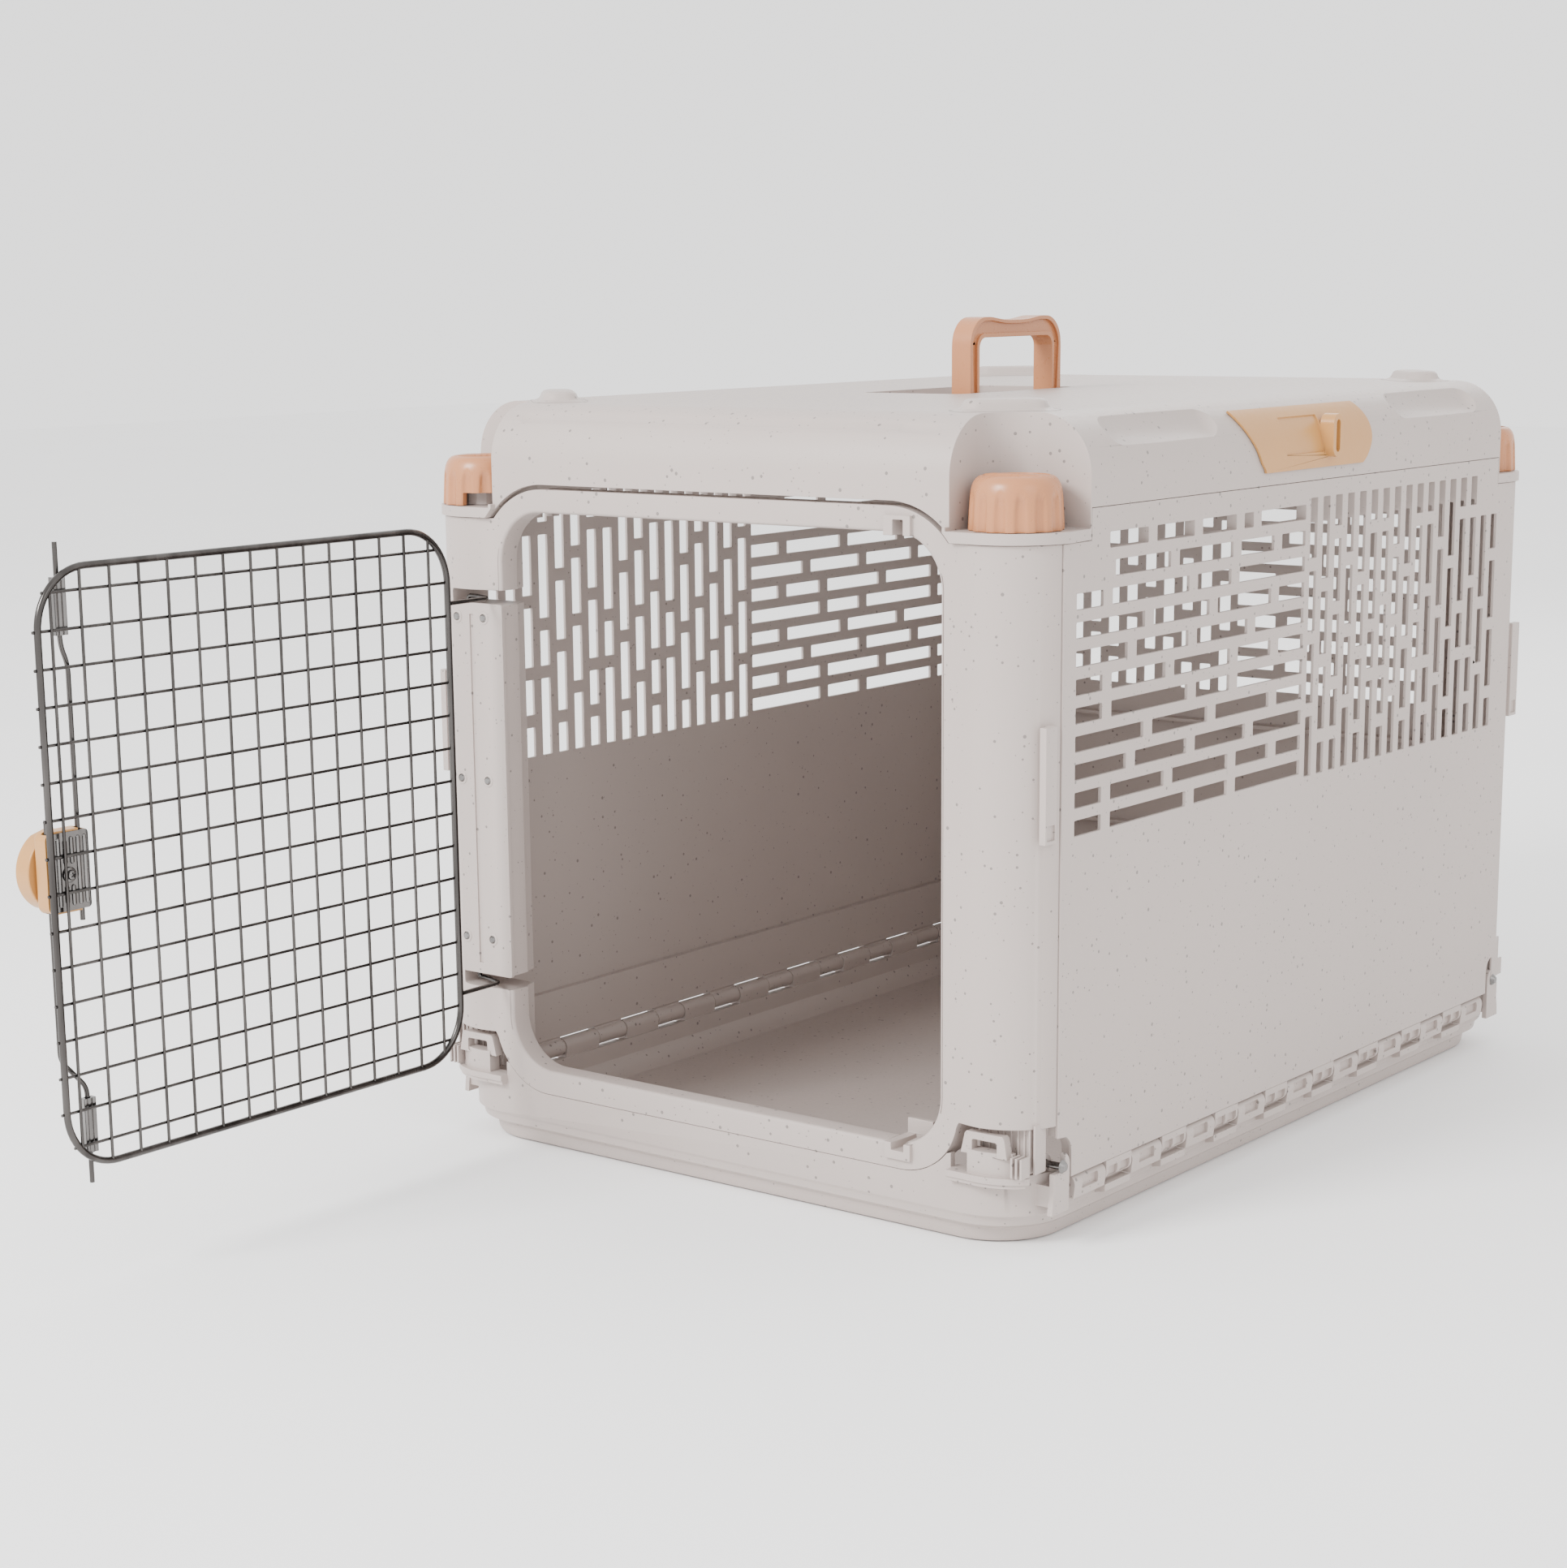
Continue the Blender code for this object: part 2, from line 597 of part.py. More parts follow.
def boss():
    """A stacking foot on the lid, its long side across the corner's diagonal."""
    bm = bmesh.new()
    rings = []
    for half_long, half_wide, radius, z in ((37, 18, 14, LID_TOP - 3 * MM), (34, 15, 12, LID_TOP + 5 * MM),
                                            (30, 11.5, 10, LID_TOP + 9.5 * MM)):
        loop = rounded(-half_long * MM, half_long * MM, -half_wide * MM, half_wide * MM, radius * MM, 3)
        rings.append([bm.verts.new((x, y, z)) for x, y in loop])
    for lower, upper in zip(rings, rings[1:]):
        for i, vert in enumerate(lower):
            after = (i + 1) % len(lower)
            bm.faces.new((vert, lower[after], upper[after], upper[i]))
    bm.faces.new(rings[0][::-1])
    bm.faces.new(rings[-1])
    mesh = to_mesh(bm)
    return moved(mesh, Matrix.Translation((0.238, -0.362, 0)) @ Matrix.Rotation(math.radians(45), 4, "Z"))


def lid():
    shell = loft(lid_sections(0, LEDGE_LOW))
    cavity = helper(loft(lid_sections(LID_WALL, 0.55)))
    arch = arc((185 * MM, 523.5 * MM), 78 * MM, 37.5, 90, 6)
    arch = [(0.2469, 0.53)] + [p for p in arch if p[1] > LEDGE_LOW - 0.0005]
    below = plate("Y", arch + [(-x, z) for x, z in arch[::-1]], -0.5, 0.5)
    side_gap = box((-0.4, -0.3709, 0.5), (0.4, 0.3709, LID_SIDE_LOW))
    recess = rounded(-0.098, 0.0135, -0.0975, 0.0975, 9 * MM, 3)
    scallop_x = 0.3285
    scallop_z = 0.6705
    scallops = []
    deeper = []
    for side in (-1, 1):
        for low, high in ((-0.345, -0.150), (0.150, 0.345)):
            ends = ((side * scallop_x, low + 0.03, scallop_z), (side * scallop_x, high - 0.03, scallop_z))
            scallops.append(capsule(*ends, 30 * MM))
            deeper.append(capsule(*ends, 33 * MM))
    ledge = plate("Z", corner_outline(3 * MM, NICHE_X - 3 * MM, -0.3718, -0.453), LEDGE_LOW, LEDGE_HIGH)
    for keep in (together(corners(niche(LID_WALL, LEDGE_LOW, 0.7))), together(deeper),
                 plate("Z", rounded(-0.1015, 0.017, -0.101, 0.101, 11 * MM, 3), 0.6375, 0.7)):
        combine(cavity, "DIFFERENCE", keep)
    made = node("lid", "stone_plastic", shell, [], [cavity, side_gap])
    combine(made, "UNION", together(corners(ledge)))
    combine(made, "UNION", together(corners(boss())))
    combine(made, "DIFFERENCE", below)
    for tool in (together(corners(niche(0, LEDGE_HIGH, 0.7))), together(scallops),
                 plate("Z", recess, 0.641, 0.7)):
        combine(made, "DIFFERENCE", tool)
    stem_hole = rod((KNOB_AT[0], -KNOB_AT[1], 0.56), (KNOB_AT[0], -KNOB_AT[1], 0.59), 13.5 * MM, 16)
    combine(made, "DIFFERENCE", together(corners(stem_hole)))
    combine(made, "DIFFERENCE", together([
        rod((0, end * 0.095, HANDLE_AXIS_Z), (0, end * 0.109, HANDLE_AXIS_Z), 3.4 * MM) for end in (-1, 1)]))
    slots = [box((side * 0.3205 - 0.01, -0.055, 0.6135), (side * 0.3205 + 0.01, 0.025, 0.6205))
             for side in (-1, 1)]
    combine(made, "DIFFERENCE", together(slots))
    return made


# ---------------------------------------------------------------- knobs
def knob(name, x, y, turn):
    """A fluted cap with a finger hollow on top; its skirt is cut short over 150 degrees."""
    low = LEDGE_HIGH + 0.5 * MM
    bm = bmesh.new()
    rings = []
    sides = 24
    for radius, z, flute in ((KNOB_R, low, 1.0), (KNOB_R - 1.5 * MM, low + 30 * MM, 1.0),
                             (KNOB_R - 4 * MM, low + 38 * MM, 0.4), (KNOB_R - 10 * MM, low + 43 * MM, 0.0)):
        ring = []
        for i in range(sides):
            angle = 2 * math.pi * i / sides
            depth = flute * 0.8 * MM * (i % 2)
            ring.append(bm.verts.new(((radius - depth) * math.cos(angle),
                                      (radius - depth) * math.sin(angle), z)))
        rings.append(ring)
    for lower, upper in zip(rings, rings[1:]):
        for i in range(sides):
            after = (i + 1) % sides
            bm.faces.new((lower[i], lower[after], upper[after], upper[i]))
    bm.faces.new(rings[0][::-1])
    bm.faces.new(rings[-1])
    spin = Matrix.Translation((x, y, 0)) @ Matrix.Rotation(math.radians(turn), 4, "Z")
    bore = moved(rod((0, 0, low - 0.01), (0, 0, low + 33 * MM), KNOB_R - 6 * MM, 20, KNOB_R - 9 * MM), spin)
    gap = [(0.06 * math.cos(math.radians(a)), 0.06 * math.sin(math.radians(a)))
           for a in range(45, 206, 20)]
    notch = moved(plate("Z", [(0, 0), *gap], low - 0.01, low + 11 * MM), spin)
    hollow = moved(rod((-0.016, 0, low + 56 * MM), (0.016, 0, low + 56 * MM), 19 * MM, 20), spin)
    return node(name, "peach_plastic", moved(to_mesh(bm), spin), [], [bore, notch, hollow],
                origin=(x, y, low))


def lock_cam(name, x, y):
    """The cup a knob turns: its slot lets the column's T-headed peg through, and holds it a quarter turn on."""
    place = Matrix.Translation((x, y, 0))
    cup = moved(rod((0, 0, LEDGE_HIGH + 0.4 * MM), (0, 0, LEDGE_HIGH + 20 * MM), 22 * MM, 16), place)
    neck = moved(rod((0, 0, LEDGE_HIGH + 19 * MM), (0, 0, LEDGE_HIGH + 30 * MM), 12 * MM, 10), place)
    room = moved(rod((0, 0, LEDGE_HIGH + 5 * MM), (0, 0, LEDGE_HIGH + 17 * MM), 12.4 * MM, 12), place)
    slot = moved(box((-10.9 * MM, -5.4 * MM, LEDGE_HIGH - MM), (10.9 * MM, 5.4 * MM, LEDGE_HIGH + 9 * MM)), place)
    return node(name, "stone_plastic", cup, [neck], [room, slot], origin=(x, y, LEDGE_HIGH))


def knobs():
    turns = {"front_right": 0, "rear_right": 90, "rear_left": 180, "front_left": 235}
    signs = {"front_right": (1, -1), "rear_right": (1, 1), "rear_left": (-1, 1), "front_left": (-1, -1)}
    for place, (sx, sy) in signs.items():
        x = sx * KNOB_AT[0]
        y = sy * KNOB_AT[1]
        knob(f"lock_knob_{place}", x, y, turns[place])
        lock_cam(f"lock_cam_{place}", x, y)


# ---------------------------------------------------------------- handle and side latches
def carry_handle():
    z = HANDLE_AXIS_Z
    outer = [(-HANDLE_HALF, z - 7 * MM), (HANDLE_HALF, z - 7 * MM),
             *arc((HANDLE_HALF - 27 * MM, 0.710), 27 * MM, 0, 90, 5), (0.030, 0.7345), (-0.030, 0.7345),
             *arc((-(HANDLE_HALF - 27 * MM), 0.710), 27 * MM, 90, 180, 5)]
    inner = rounded(-0.0735, 0.0735, z - 30 * MM, 0.7175, 11 * MM, 3)
    grip = plate("X", outer, -10.5 * MM, 10.5 * MM)
    gap = plate("X", inner, -20 * MM, 20 * MM)
    groove_loop = [(y * 0.955, 0.655 + (h - 0.655) * 0.955) for y, h in outer[2:]]
    inner_loop = rounded(-0.0775, 0.0775, 0.600, 0.7225, 13 * MM, 3)
    grooves = [plate("X", [(-0.085, 0.665), (0.085, 0.665), *groove_loop], low, high, holes=[])
               for low, high in ((-11 * MM, -8.5 * MM), (8.5 * MM, 11 * MM))]
    band = []
    for mesh in grooves:
        guide = helper(mesh)
        combine(guide, "DIFFERENCE", plate("X", inner_loop, -20 * MM, 20 * MM))
        band.append(guide)
    bore = rod((0, -0.1, z), (0, 0.1, z), 3.4 * MM)
    node("carry_handle", "peach_plastic", grip, [], [gap, *band, bore], origin=(0, 0, z))
    for name, end in (("handle_pin_front", -1), ("handle_pin_rear", 1)):
        node(name, "plated_steel", rod((0, end * 0.0755, z), (0, end * 0.1075, z), 3 * MM))


def edge_sheet(side, offset, thick, low_z, top_angle, y_low, y_high):
    """A sheet that follows the lid's side and its rounded top edge, as a (x, z) outline along Y."""
    centre = (HALF_W - LID_EDGE_R, LID_TOP - LID_EDGE_R)
    loops = []
    for radius in (LID_EDGE_R + offset, LID_EDGE_R + offset + thick):
        loops.append([(centre[0] + radius, low_z)] + arc(centre, radius, 0, top_angle, 6))
    outline = [(side * x, z) for x, z in loops[1] + loops[0][::-1]]
    return plate("Y", outline, y_low, y_high)


def side_latch(name, side):
    """An ochre slide on the lid's edge, with a finger tab, and the bolt it carries through a slot."""
    sheet = edge_sheet(side, 0.5 * MM, 2.2 * MM, 0.607, 52, *LATCH_RUN)
    x_out = side * (HALF_W + 2.4 * MM)
    corner = 34 * MM
    view = [(LATCH_RUN[0] + 46 * MM, 0.60), (LATCH_RUN[1] - corner, 0.60),
            *arc((LATCH_RUN[1] - corner, 0.607 + corner), corner, -60, 60, 6),
            (LATCH_RUN[1] - corner, 0.69), (LATCH_RUN[0] - 4 * MM, 0.69),
            (LATCH_RUN[0] + 10 * MM, 0.648), (LATCH_RUN[0] + 28 * MM, 0.622)]
    low, high = sorted((side * 0.28, side * 0.36))
    body = intersected(sheet, plate("X", view, low, high))
    tab = rounded(0.006, 0.024, 0.616, 0.652, 9 * MM, 4)
    tab_low, tab_high = sorted((side * 0.3275, side * 0.337))
    tab_hole = [(0.015 + (y - 0.015) * 0.5, 0.634 + (z - 0.634) * 0.8) for y, z in tab]
    ear = plate("X", tab, tab_low, tab_high)
    dimple = plate("X", tab_hole, *sorted((side * 0.3295, side * 0.345)))
    stem = box(*zip(*(sorted((side * 0.309, side * 0.3275)), (-0.013, 0.007), (0.6145, 0.6195))))
    bolt = box(*zip(*(sorted((side * 0.3105, side * 0.3215)), (-0.028, 0.022), (0.6040, 0.6220))))
    origin = (x_out, 0, 0.62)
    node(f"side_latch_{name}", "ochre_plastic", body, [ear, stem, bolt], [dimple], origin=origin)


# ---------------------------------------------------------------- wire door, built shut, about its hinge axis
def door_pivot():
    pivot = bpy.data.objects.new("door_pivot", None)
    CRATE.objects.link(pivot)
    pivot.location = (*DOOR_AXIS, 0)
    pivot.rotation_euler = (0, 0, -math.pi / 2)
    bpy.context.view_layer.update()
    return pivot


def ring_wire(outline, plane, radius, sides=8):
    """A closed round wire along an outline in (x, z)."""
    bm = bmesh.new()
    count = len(outline)
    rings = []
    for i in range(count):
        before = Vector(outline[i - 1])
        after = Vector(outline[(i + 1) % count])
        along = (after - before).normalized()
        across = Vector((along.y, -along.x))
        ring = []
        for k in range(sides):
            angle = 2 * math.pi * k / sides
            spot = Vector(outline[i]) + across * radius * math.cos(angle)
            ring.append(bm.verts.new((spot.x, plane + radius * math.sin(angle), spot.y)))
        rings.append(ring)
    for i in range(count):
        one = rings[i]
        two = rings[(i + 1) % count]
        for k in range(sides):
            after = (k + 1) % sides
            bm.faces.new((one[k], one[after], two[after], two[k]))
    return to_mesh(bm)


def door_mesh_sheet():
    """The welded mesh of the door as a sheet and the blocks that open it; the wires between are left out."""
    count = 6
    bar = 2.6 * MM
    inset = 4.6 * MM
    x0 = DOOR_X[0] + inset
    z0 = DOOR_Z[0] + inset
    step_x = (DOOR_X[1] - inset - x0) / count
    step_z = (DOOR_Z[1] - inset - z0) / count
    blocks = []
    for i in range(count):
        for j in range(count):
            if i in (0, count - 1) and j in (0, count - 1):
                continue
            if i == count - 1 and j == 3:
                continue
            high = j + 2 if (i == count - 1 and j == 2) else j + 1
            blocks.append(box((x0 + i * step_x + bar / 2, 0, z0 + j * step_z + bar / 2),
                              (x0 + (i + 1) * step_x - bar / 2, 0.06, z0 + high * step_z - bar / 2)))
    grown = bar / 2
    outline = rounded(x0 - grown, DOOR_X[1] - inset + grown, z0 - grown, DOOR_Z[1] - inset + grown, 42.7 * MM, 5)
    return plate("Y", outline, DOOR_PLANE - 1.3 * MM, DOOR_PLANE + 1.3 * MM), together(blocks)


def door(pivot):
    ring = rounded(*DOOR_X, *DOOR_Z, 46 * MM, 5)
    node("door_frame_wire", "wire_chrome", ring_wire(ring, DOOR_PLANE, 2.9 * MM), parent=pivot)
    sheet, blocks = door_mesh_sheet()
    node("door_mesh", "wire_chrome", sheet, [], [blocks], parent=pivot)
    arm_z = (0.1515, 0.5005)
    elbow = (6.5 * MM, DOOR_PLANE)
    points = [(DOOR_X[0] - 3.3 * MM, DOOR_PLANE, arm_z[0]), (*elbow, arm_z[0]),
              (0, 6 * MM, arm_z[0]), (0, 0, arm_z[0] + 3 * MM), (0, 0, arm_z[1] - 3 * MM),
              (0, 6 * MM, arm_z[1]), (*elbow, arm_z[1]), (DOOR_X[0] - 3.3 * MM, DOOR_PLANE, arm_z[1])]
    node("door_hinge_wire", "wire_chrome", wire(points, 2 * MM), parent=pivot)


def latch(pivot):
    x = LATCH_X
    z = LATCH_Z
    shell = plate("Y", rounded(x - 21 * MM, x + 20.5 * MM, z - 36 * MM, z + 42 * MM, 7 * MM, 3),
                  14 * MM, 28 * MM)
    room = plate("Y", rounded(x - 19 * MM, x + 18.5 * MM, z - 34 * MM, z + 40 * MM, 1.2 * MM, 1),
                 17.2 * MM, 40 * MM)
    rod_slots = together([box((rod_x - 3 * MM, 20.5 * MM, z - 45 * MM), (rod_x + 3 * MM, 40 * MM, z + 50 * MM))
                          for rod_x in (x - RACK_OFFSET, x + RACK_OFFSET)])
    axle_hole = rod((x, 10 * MM, z), (x, 20 * MM, z), 5.4 * MM)
    node("latch_housing", "ochre_plastic", shell, [], [room, rod_slots, axle_hole], parent=pivot)
    plate_low = 28.3 * MM
    node("latch_back_plate", "plated_steel",
         plate("Y", rounded(x - 20 * MM, x + 14 * MM, z - 34 * MM, z + 40 * MM, 4 * MM, 2),
               plate_low, plate_low + 1.2 * MM, holes=[rounded(x - 2.4 * MM, x + 2.4 * MM, z - 2.4 * MM,
                                                             z + 2.4 * MM, 2.3 * MM, 3)]), parent=pivot)
    node("latch_washer", "plated_steel",
         plate("Y", arc((x, z), 5.2 * MM, 0, 345, 23), 29.8 * MM, 31.2 * MM,
               holes=[arc((x, z), 2.3 * MM, 0, 330, 11)]), parent=pivot)
    node("latch_screw", "plated_steel", rod((x, 31.5 * MM, z), (x, 34.4 * MM, z), 4 * MM, 16, 2.6 * MM),
         [rod((x, 18.5 * MM, z), (x, 32 * MM, z), 1.9 * MM, 12)],
         [box((x - 2.2 * MM, 33.4 * MM, z - 0.4 * MM), (x + 2.2 * MM, 36 * MM, z + 0.4 * MM))], parent=pivot)
    teeth = []
    for i in range(36):
        angle = 360 * i / 36
        radius = (12.4 if i % 3 == 0 else 10.2) * MM
        teeth.append((x + radius * math.cos(math.radians(angle)), z + radius * math.sin(math.radians(angle))))
    node("latch_pinion", "stone_plastic", plate("Y", teeth, 20.5 * MM, 25 * MM),
         [rod((x, 17.4 * MM, z), (x, 21 * MM, z), 5 * MM)],
         [rod((x, 17.9 * MM, z), (x, 30 * MM, z), 2.3 * MM, 12)], origin=(x, 0, z), parent=pivot)
    grip_shape = [(x - 8 * MM, z - 33 * MM), *arc((x - 8 * MM, z), 33 * MM, -60, 60, 8),
                  (x - 8 * MM, z + 33 * MM), *arc((x - 8 * MM, z), 14 * MM, 110, 250, 6)]
    node("latch_grip", "ochre_plastic", plate("Y", grip_shape, -5 * MM, 11 * MM),
         [rod((x, 10 * MM, z), (x, 16.9 * MM, z), 5 * MM)],
         [plate("Y", [(x + 2 * MM, z - 22 * MM), *arc((x - 6 * MM, z), 24.5 * MM, -52, 52, 6),
                      (x + 2 * MM, z + 22 * MM)], -9 * MM, 6 * MM)],
         origin=(x, 0, z), parent=pivot)
    left = x - RACK_OFFSET
    right = x + RACK_OFFSET - 4 * MM
    upper = [(ROD_LINE, ROD_PLANE, 0.5845), (ROD_LINE, ROD_PLANE, 0.506), (ROD_LINE - 4 * MM, ROD_PLANE, 0.495),
             (left, ROD_PLANE, 0.480), (left, ROD_PLANE, 0.290)]
    lower = [(ROD_LINE, ROD_PLANE, 0.0776), (ROD_LINE, ROD_PLANE, 0.156), (ROD_LINE + 6 * MM, ROD_PLANE, 0.168),
             (right + 4 * MM, ROD_PLANE, 0.190), (right + 4 * MM, ROD_PLANE, 0.373)]
    node("latch_rod_upper", "wire_chrome", wire(upper, 2 * MM), origin=(ROD_LINE, ROD_PLANE, z), parent=pivot)
    node("latch_rod_lower", "wire_chrome", wire(lower, 2 * MM), origin=(ROD_LINE, ROD_PLANE, z), parent=pivot)
    for name, low, high in (("rod_guide_upper", 0.5135, 0.558), ("rod_guide_lower", 0.103, 0.1475)):
        loop = [(ROD_LINE - 6 * MM, 20.7 * MM), (ROD_LINE + 6 * MM, 20.7 * MM), (ROD_LINE + 6 * MM, 27.5 * MM),
                (ROD_LINE - 6 * MM, 27.5 * MM)]
        hole = rounded(ROD_LINE - 2.6 * MM, ROD_LINE + 2.6 * MM, 21.2 * MM, 26.3 * MM, 2 * MM, 2)
        node(name, "plated_steel", plate("Z", loop, low, high, holes=[hole]), parent=pivot)
    turns = 5
    spring = [(x + 8 * MM * math.cos(2 * math.pi * t / 10), 26.5 * MM + 1.6 * MM * t / (10 * turns),
               z + 8 * MM * math.sin(2 * math.pi * t / 10)) for t in range(0, 14)]
    node("latch_spring", "wire_chrome", wire(spring, 0.6 * MM, 1), parent=pivot)


def hinge_cover():
    panel = plate("Y", rounded(-0.2925, -0.233, 0.157, 0.495, 2 * MM, 2), -0.4498, -0.4466)
    groove = box((-0.2725, -0.46, 0.167), (-0.2675, -0.4485, 0.485))
    places = [(x, z) for z in (0.190, 0.336, 0.482) for x in (-0.2875, -0.2555)]
    holes = together([rod((x, -0.46, z), (x, -0.44, z), 1.9 * MM, 10) for x, z in places])
    node("hinge_cover", "stone_plastic", panel, [], [groove, holes])
    for i, (x, z) in enumerate(places):
        node(f"cover_screw_{i + 1}", "plated_steel", rod((x, -0.4503, z), (x, -0.4517, z), 3.4 * MM, 14, 2.4 * MM))


def pins():
    for name, side in (("hinge_rod_left", -1), ("hinge_rod_right", 1)):
        node(name, "plated_steel", rod((side * HINGE_X, -0.3835, HINGE_Z), (side * HINGE_X, 0.3835, HINGE_Z),
                                       ROD_R))
    for name, x, y in (("pivot_pin_front_right", 1, -1), ("pivot_pin_front_left", -1, -1),
                       ("pivot_pin_rear_right", 1, 1), ("pivot_pin_rear_left", -1, 1)):
        shank = rod((x * 0.2885, y * 0.4045, 0.069), (x * 0.3275, y * 0.4045, 0.069), 3 * MM)
        head = rod((x * 0.3268, y * 0.4045, 0.069), (x * 0.3300, y * 0.4045, 0.069), 5.8 * MM, 16, 3.2 * MM)
        node(name, "plated_steel", shank, [head])


clear_scene()
CRATE, CUTTERS = make_collections()
base_tray()
side_panel("side_panel_right", 1, 1)
side_panel("side_panel_left", -1, -1)
front_panel()
rear_panel()
lid()
knobs()
carry_handle()
side_latch("right", 1)
side_latch("left", -1)
PIVOT = door_pivot()
door(PIVOT)
latch(PIVOT)
hinge_cover()
pins()
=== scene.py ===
"""Looks for the pet transport crate: finer mouldings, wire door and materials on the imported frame."""

import json
import math

import bmesh
import bpy
from mathutils import Matrix, Vector


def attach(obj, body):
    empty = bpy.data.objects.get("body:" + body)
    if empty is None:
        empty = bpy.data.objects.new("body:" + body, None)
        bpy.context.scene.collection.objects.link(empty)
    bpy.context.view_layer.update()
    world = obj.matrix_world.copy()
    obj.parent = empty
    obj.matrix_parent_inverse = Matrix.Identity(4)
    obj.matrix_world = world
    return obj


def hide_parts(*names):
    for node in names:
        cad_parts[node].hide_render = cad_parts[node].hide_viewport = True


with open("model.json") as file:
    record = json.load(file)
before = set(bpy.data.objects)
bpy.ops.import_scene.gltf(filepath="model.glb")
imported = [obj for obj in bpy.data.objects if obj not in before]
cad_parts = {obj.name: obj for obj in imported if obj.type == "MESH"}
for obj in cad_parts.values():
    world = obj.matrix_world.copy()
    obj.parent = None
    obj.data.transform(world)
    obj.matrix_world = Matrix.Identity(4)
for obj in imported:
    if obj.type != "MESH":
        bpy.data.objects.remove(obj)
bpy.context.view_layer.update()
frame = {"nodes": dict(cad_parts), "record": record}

# All shapes below are drawn in millimetres in the frame's axes and scaled to metres at the end.
HALF_W = 326
HALF_L = 447
SEAM_Y = 411
CORNER_R = 52
BULGE_Y = 452
PANEL_TOP = 595.7
COLUMN_TOP = 570.5
COLUMN_LOW = 104
LID_TOP = 669
LID_EDGE = 48
LEDGE_LOW = 571
LEDGE_HIGH = 580
NICHE = (243, 372.5, 38)
KNOB_AT = (283, 413)
HINGE = (317.5, 47.5)
DOOR_X = (59.5, 502.5)
DOOR_Z = (93.5, 565.6)
LATCH = (484, 329)
ROD_LINE = 475
OPEN_DOOR = Matrix.Translation((-279, -443.5, 0)) @ Matrix.Rotation(-math.pi / 2, 4, "Z")
SCENE = bpy.context.scene


# ---------------------------------------------------------------- node materials
class Nodes:
    """Short spelling for a material's node tree."""

    def __init__(self, name, roughness, metallic=0.0):
        self.material = bpy.data.materials.new(name)
        self.material.use_nodes = True
        self.tree = self.material.node_tree
        self.shader = self.tree.nodes["Principled BSDF"]
        self.shader.inputs["Roughness"].default_value = roughness
        self.shader.inputs["Metallic"].default_value = metallic
        self.place = self.add("ShaderNodeTexCoord").outputs["Object"]

    def add(self, kind, **inputs):
        node = self.tree.nodes.new(kind)
        for key, value in inputs.items():
            self.set(node.inputs[key.replace("_", " ")], value)
        return node

    def set(self, socket, value):
        if isinstance(value, bpy.types.NodeSocket):
            self.tree.links.new(value, socket)
        else:
            socket.default_value = value

    def math(self, operation, first, second=0.0, clamp=False):
        node = self.tree.nodes.new("ShaderNodeMath")
        node.operation = operation
        node.use_clamp = clamp
        self.set(node.inputs[0], first)
        self.set(node.inputs[1], second)
        return node.outputs[0]

    def noise(self, scale, detail=2.0, place=None):
        node = self.add("ShaderNodeTexNoise", Vector=place or self.place, Scale=scale, Detail=detail)
        return node.outputs["Fac"]

    def remap(self, value, low, high, new_low, new_high):
        node = self.add("ShaderNodeMapRange", Value=value)
        for index, number in zip((1, 2, 3, 4), (low, high, new_low, new_high)):
            self.set(node.inputs[index], number)
        return node.outputs[0]

    def mix(self, factor, first, second):
        node = self.tree.nodes.new("ShaderNodeMix")
        node.data_type = "RGBA"
        self.set(node.inputs[0], factor)
        self.set(node.inputs[6], first)
        self.set(node.inputs[7], second)
        return node.outputs[2]

    def bump(self, height, strength, distance):
        node = self.add("ShaderNodeBump", Height=height, Strength=strength, Distance=distance)
        self.tree.links.new(node.outputs[0], self.shader.inputs["Normal"])

    def specks(self, cell, radius, share):
        """1 inside small round flecks, one to a cell in a share of the cells."""
        voronoi = self.add("ShaderNodeTexVoronoi", Vector=self.place, Scale=1.0 / cell)
        parts = self.add("ShaderNodeSeparateColor", Color=voronoi.outputs["Color"])
        size = self.remap(parts.outputs[1], 0.0, 1.0, 0.35 * radius / cell, radius / cell)
        inside = self.math("LESS_THAN", voronoi.outputs["Distance"], size)
        kept = self.math("LESS_THAN", parts.outputs[0], share)
        return self.math("MULTIPLY", inside, kept)


def stone_plastic():
    """Warm light grey moulding with fine darker flecks and a satin, finely etched skin."""
    n = Nodes("stone_plastic", 0.42)
    drift = n.noise(3.0, 3.0)
    body = n.mix(n.remap(drift, 0.3, 0.7, 0.0, 1.0), (0.425, 0.362, 0.335, 1), (0.450, 0.385, 0.356, 1))
    patch = n.remap(n.noise(14.0, 2.0), 0.35, 0.65, 0.35, 1.0)
    coarse = n.specks(0.0095, 0.00160, patch)
    fine = n.specks(0.0058, 0.00080, 0.70)
    flecks = n.math("MAXIMUM", n.math("MULTIPLY", coarse, 0.72), n.math("MULTIPLY", fine, 0.55))
    n.set(n.shader.inputs["Base Color"], n.mix(flecks, body, (0.120, 0.105, 0.098, 1)))
    n.set(n.shader.inputs["Roughness"], n.remap(n.noise(220.0, 2.0), 0.3, 0.7, 0.38, 0.46))
    n.bump(n.noise(1700.0, 2.0), 0.10, 0.0004)
    return n.material


def tinted_plastic(name, light, dark, roughness):
    """Plain coloured moulding: slow flow marks, a fine etch and softly varying gloss."""
    n = Nodes(name, roughness)
    flow = n.remap(n.noise(9.0, 4.0), 0.3, 0.7, 0.0, 1.0)
    n.set(n.shader.inputs["Base Color"], n.mix(flow, (*dark, 1), (*light, 1)))
    gloss = n.remap(n.noise(160.0, 3.0), 0.3, 0.7, roughness - 0.04, roughness + 0.05)
    n.set(n.shader.inputs["Roughness"], gloss)
    n.bump(n.noise(1400.0, 2.0), 0.07, 0.0003)
    return n.material


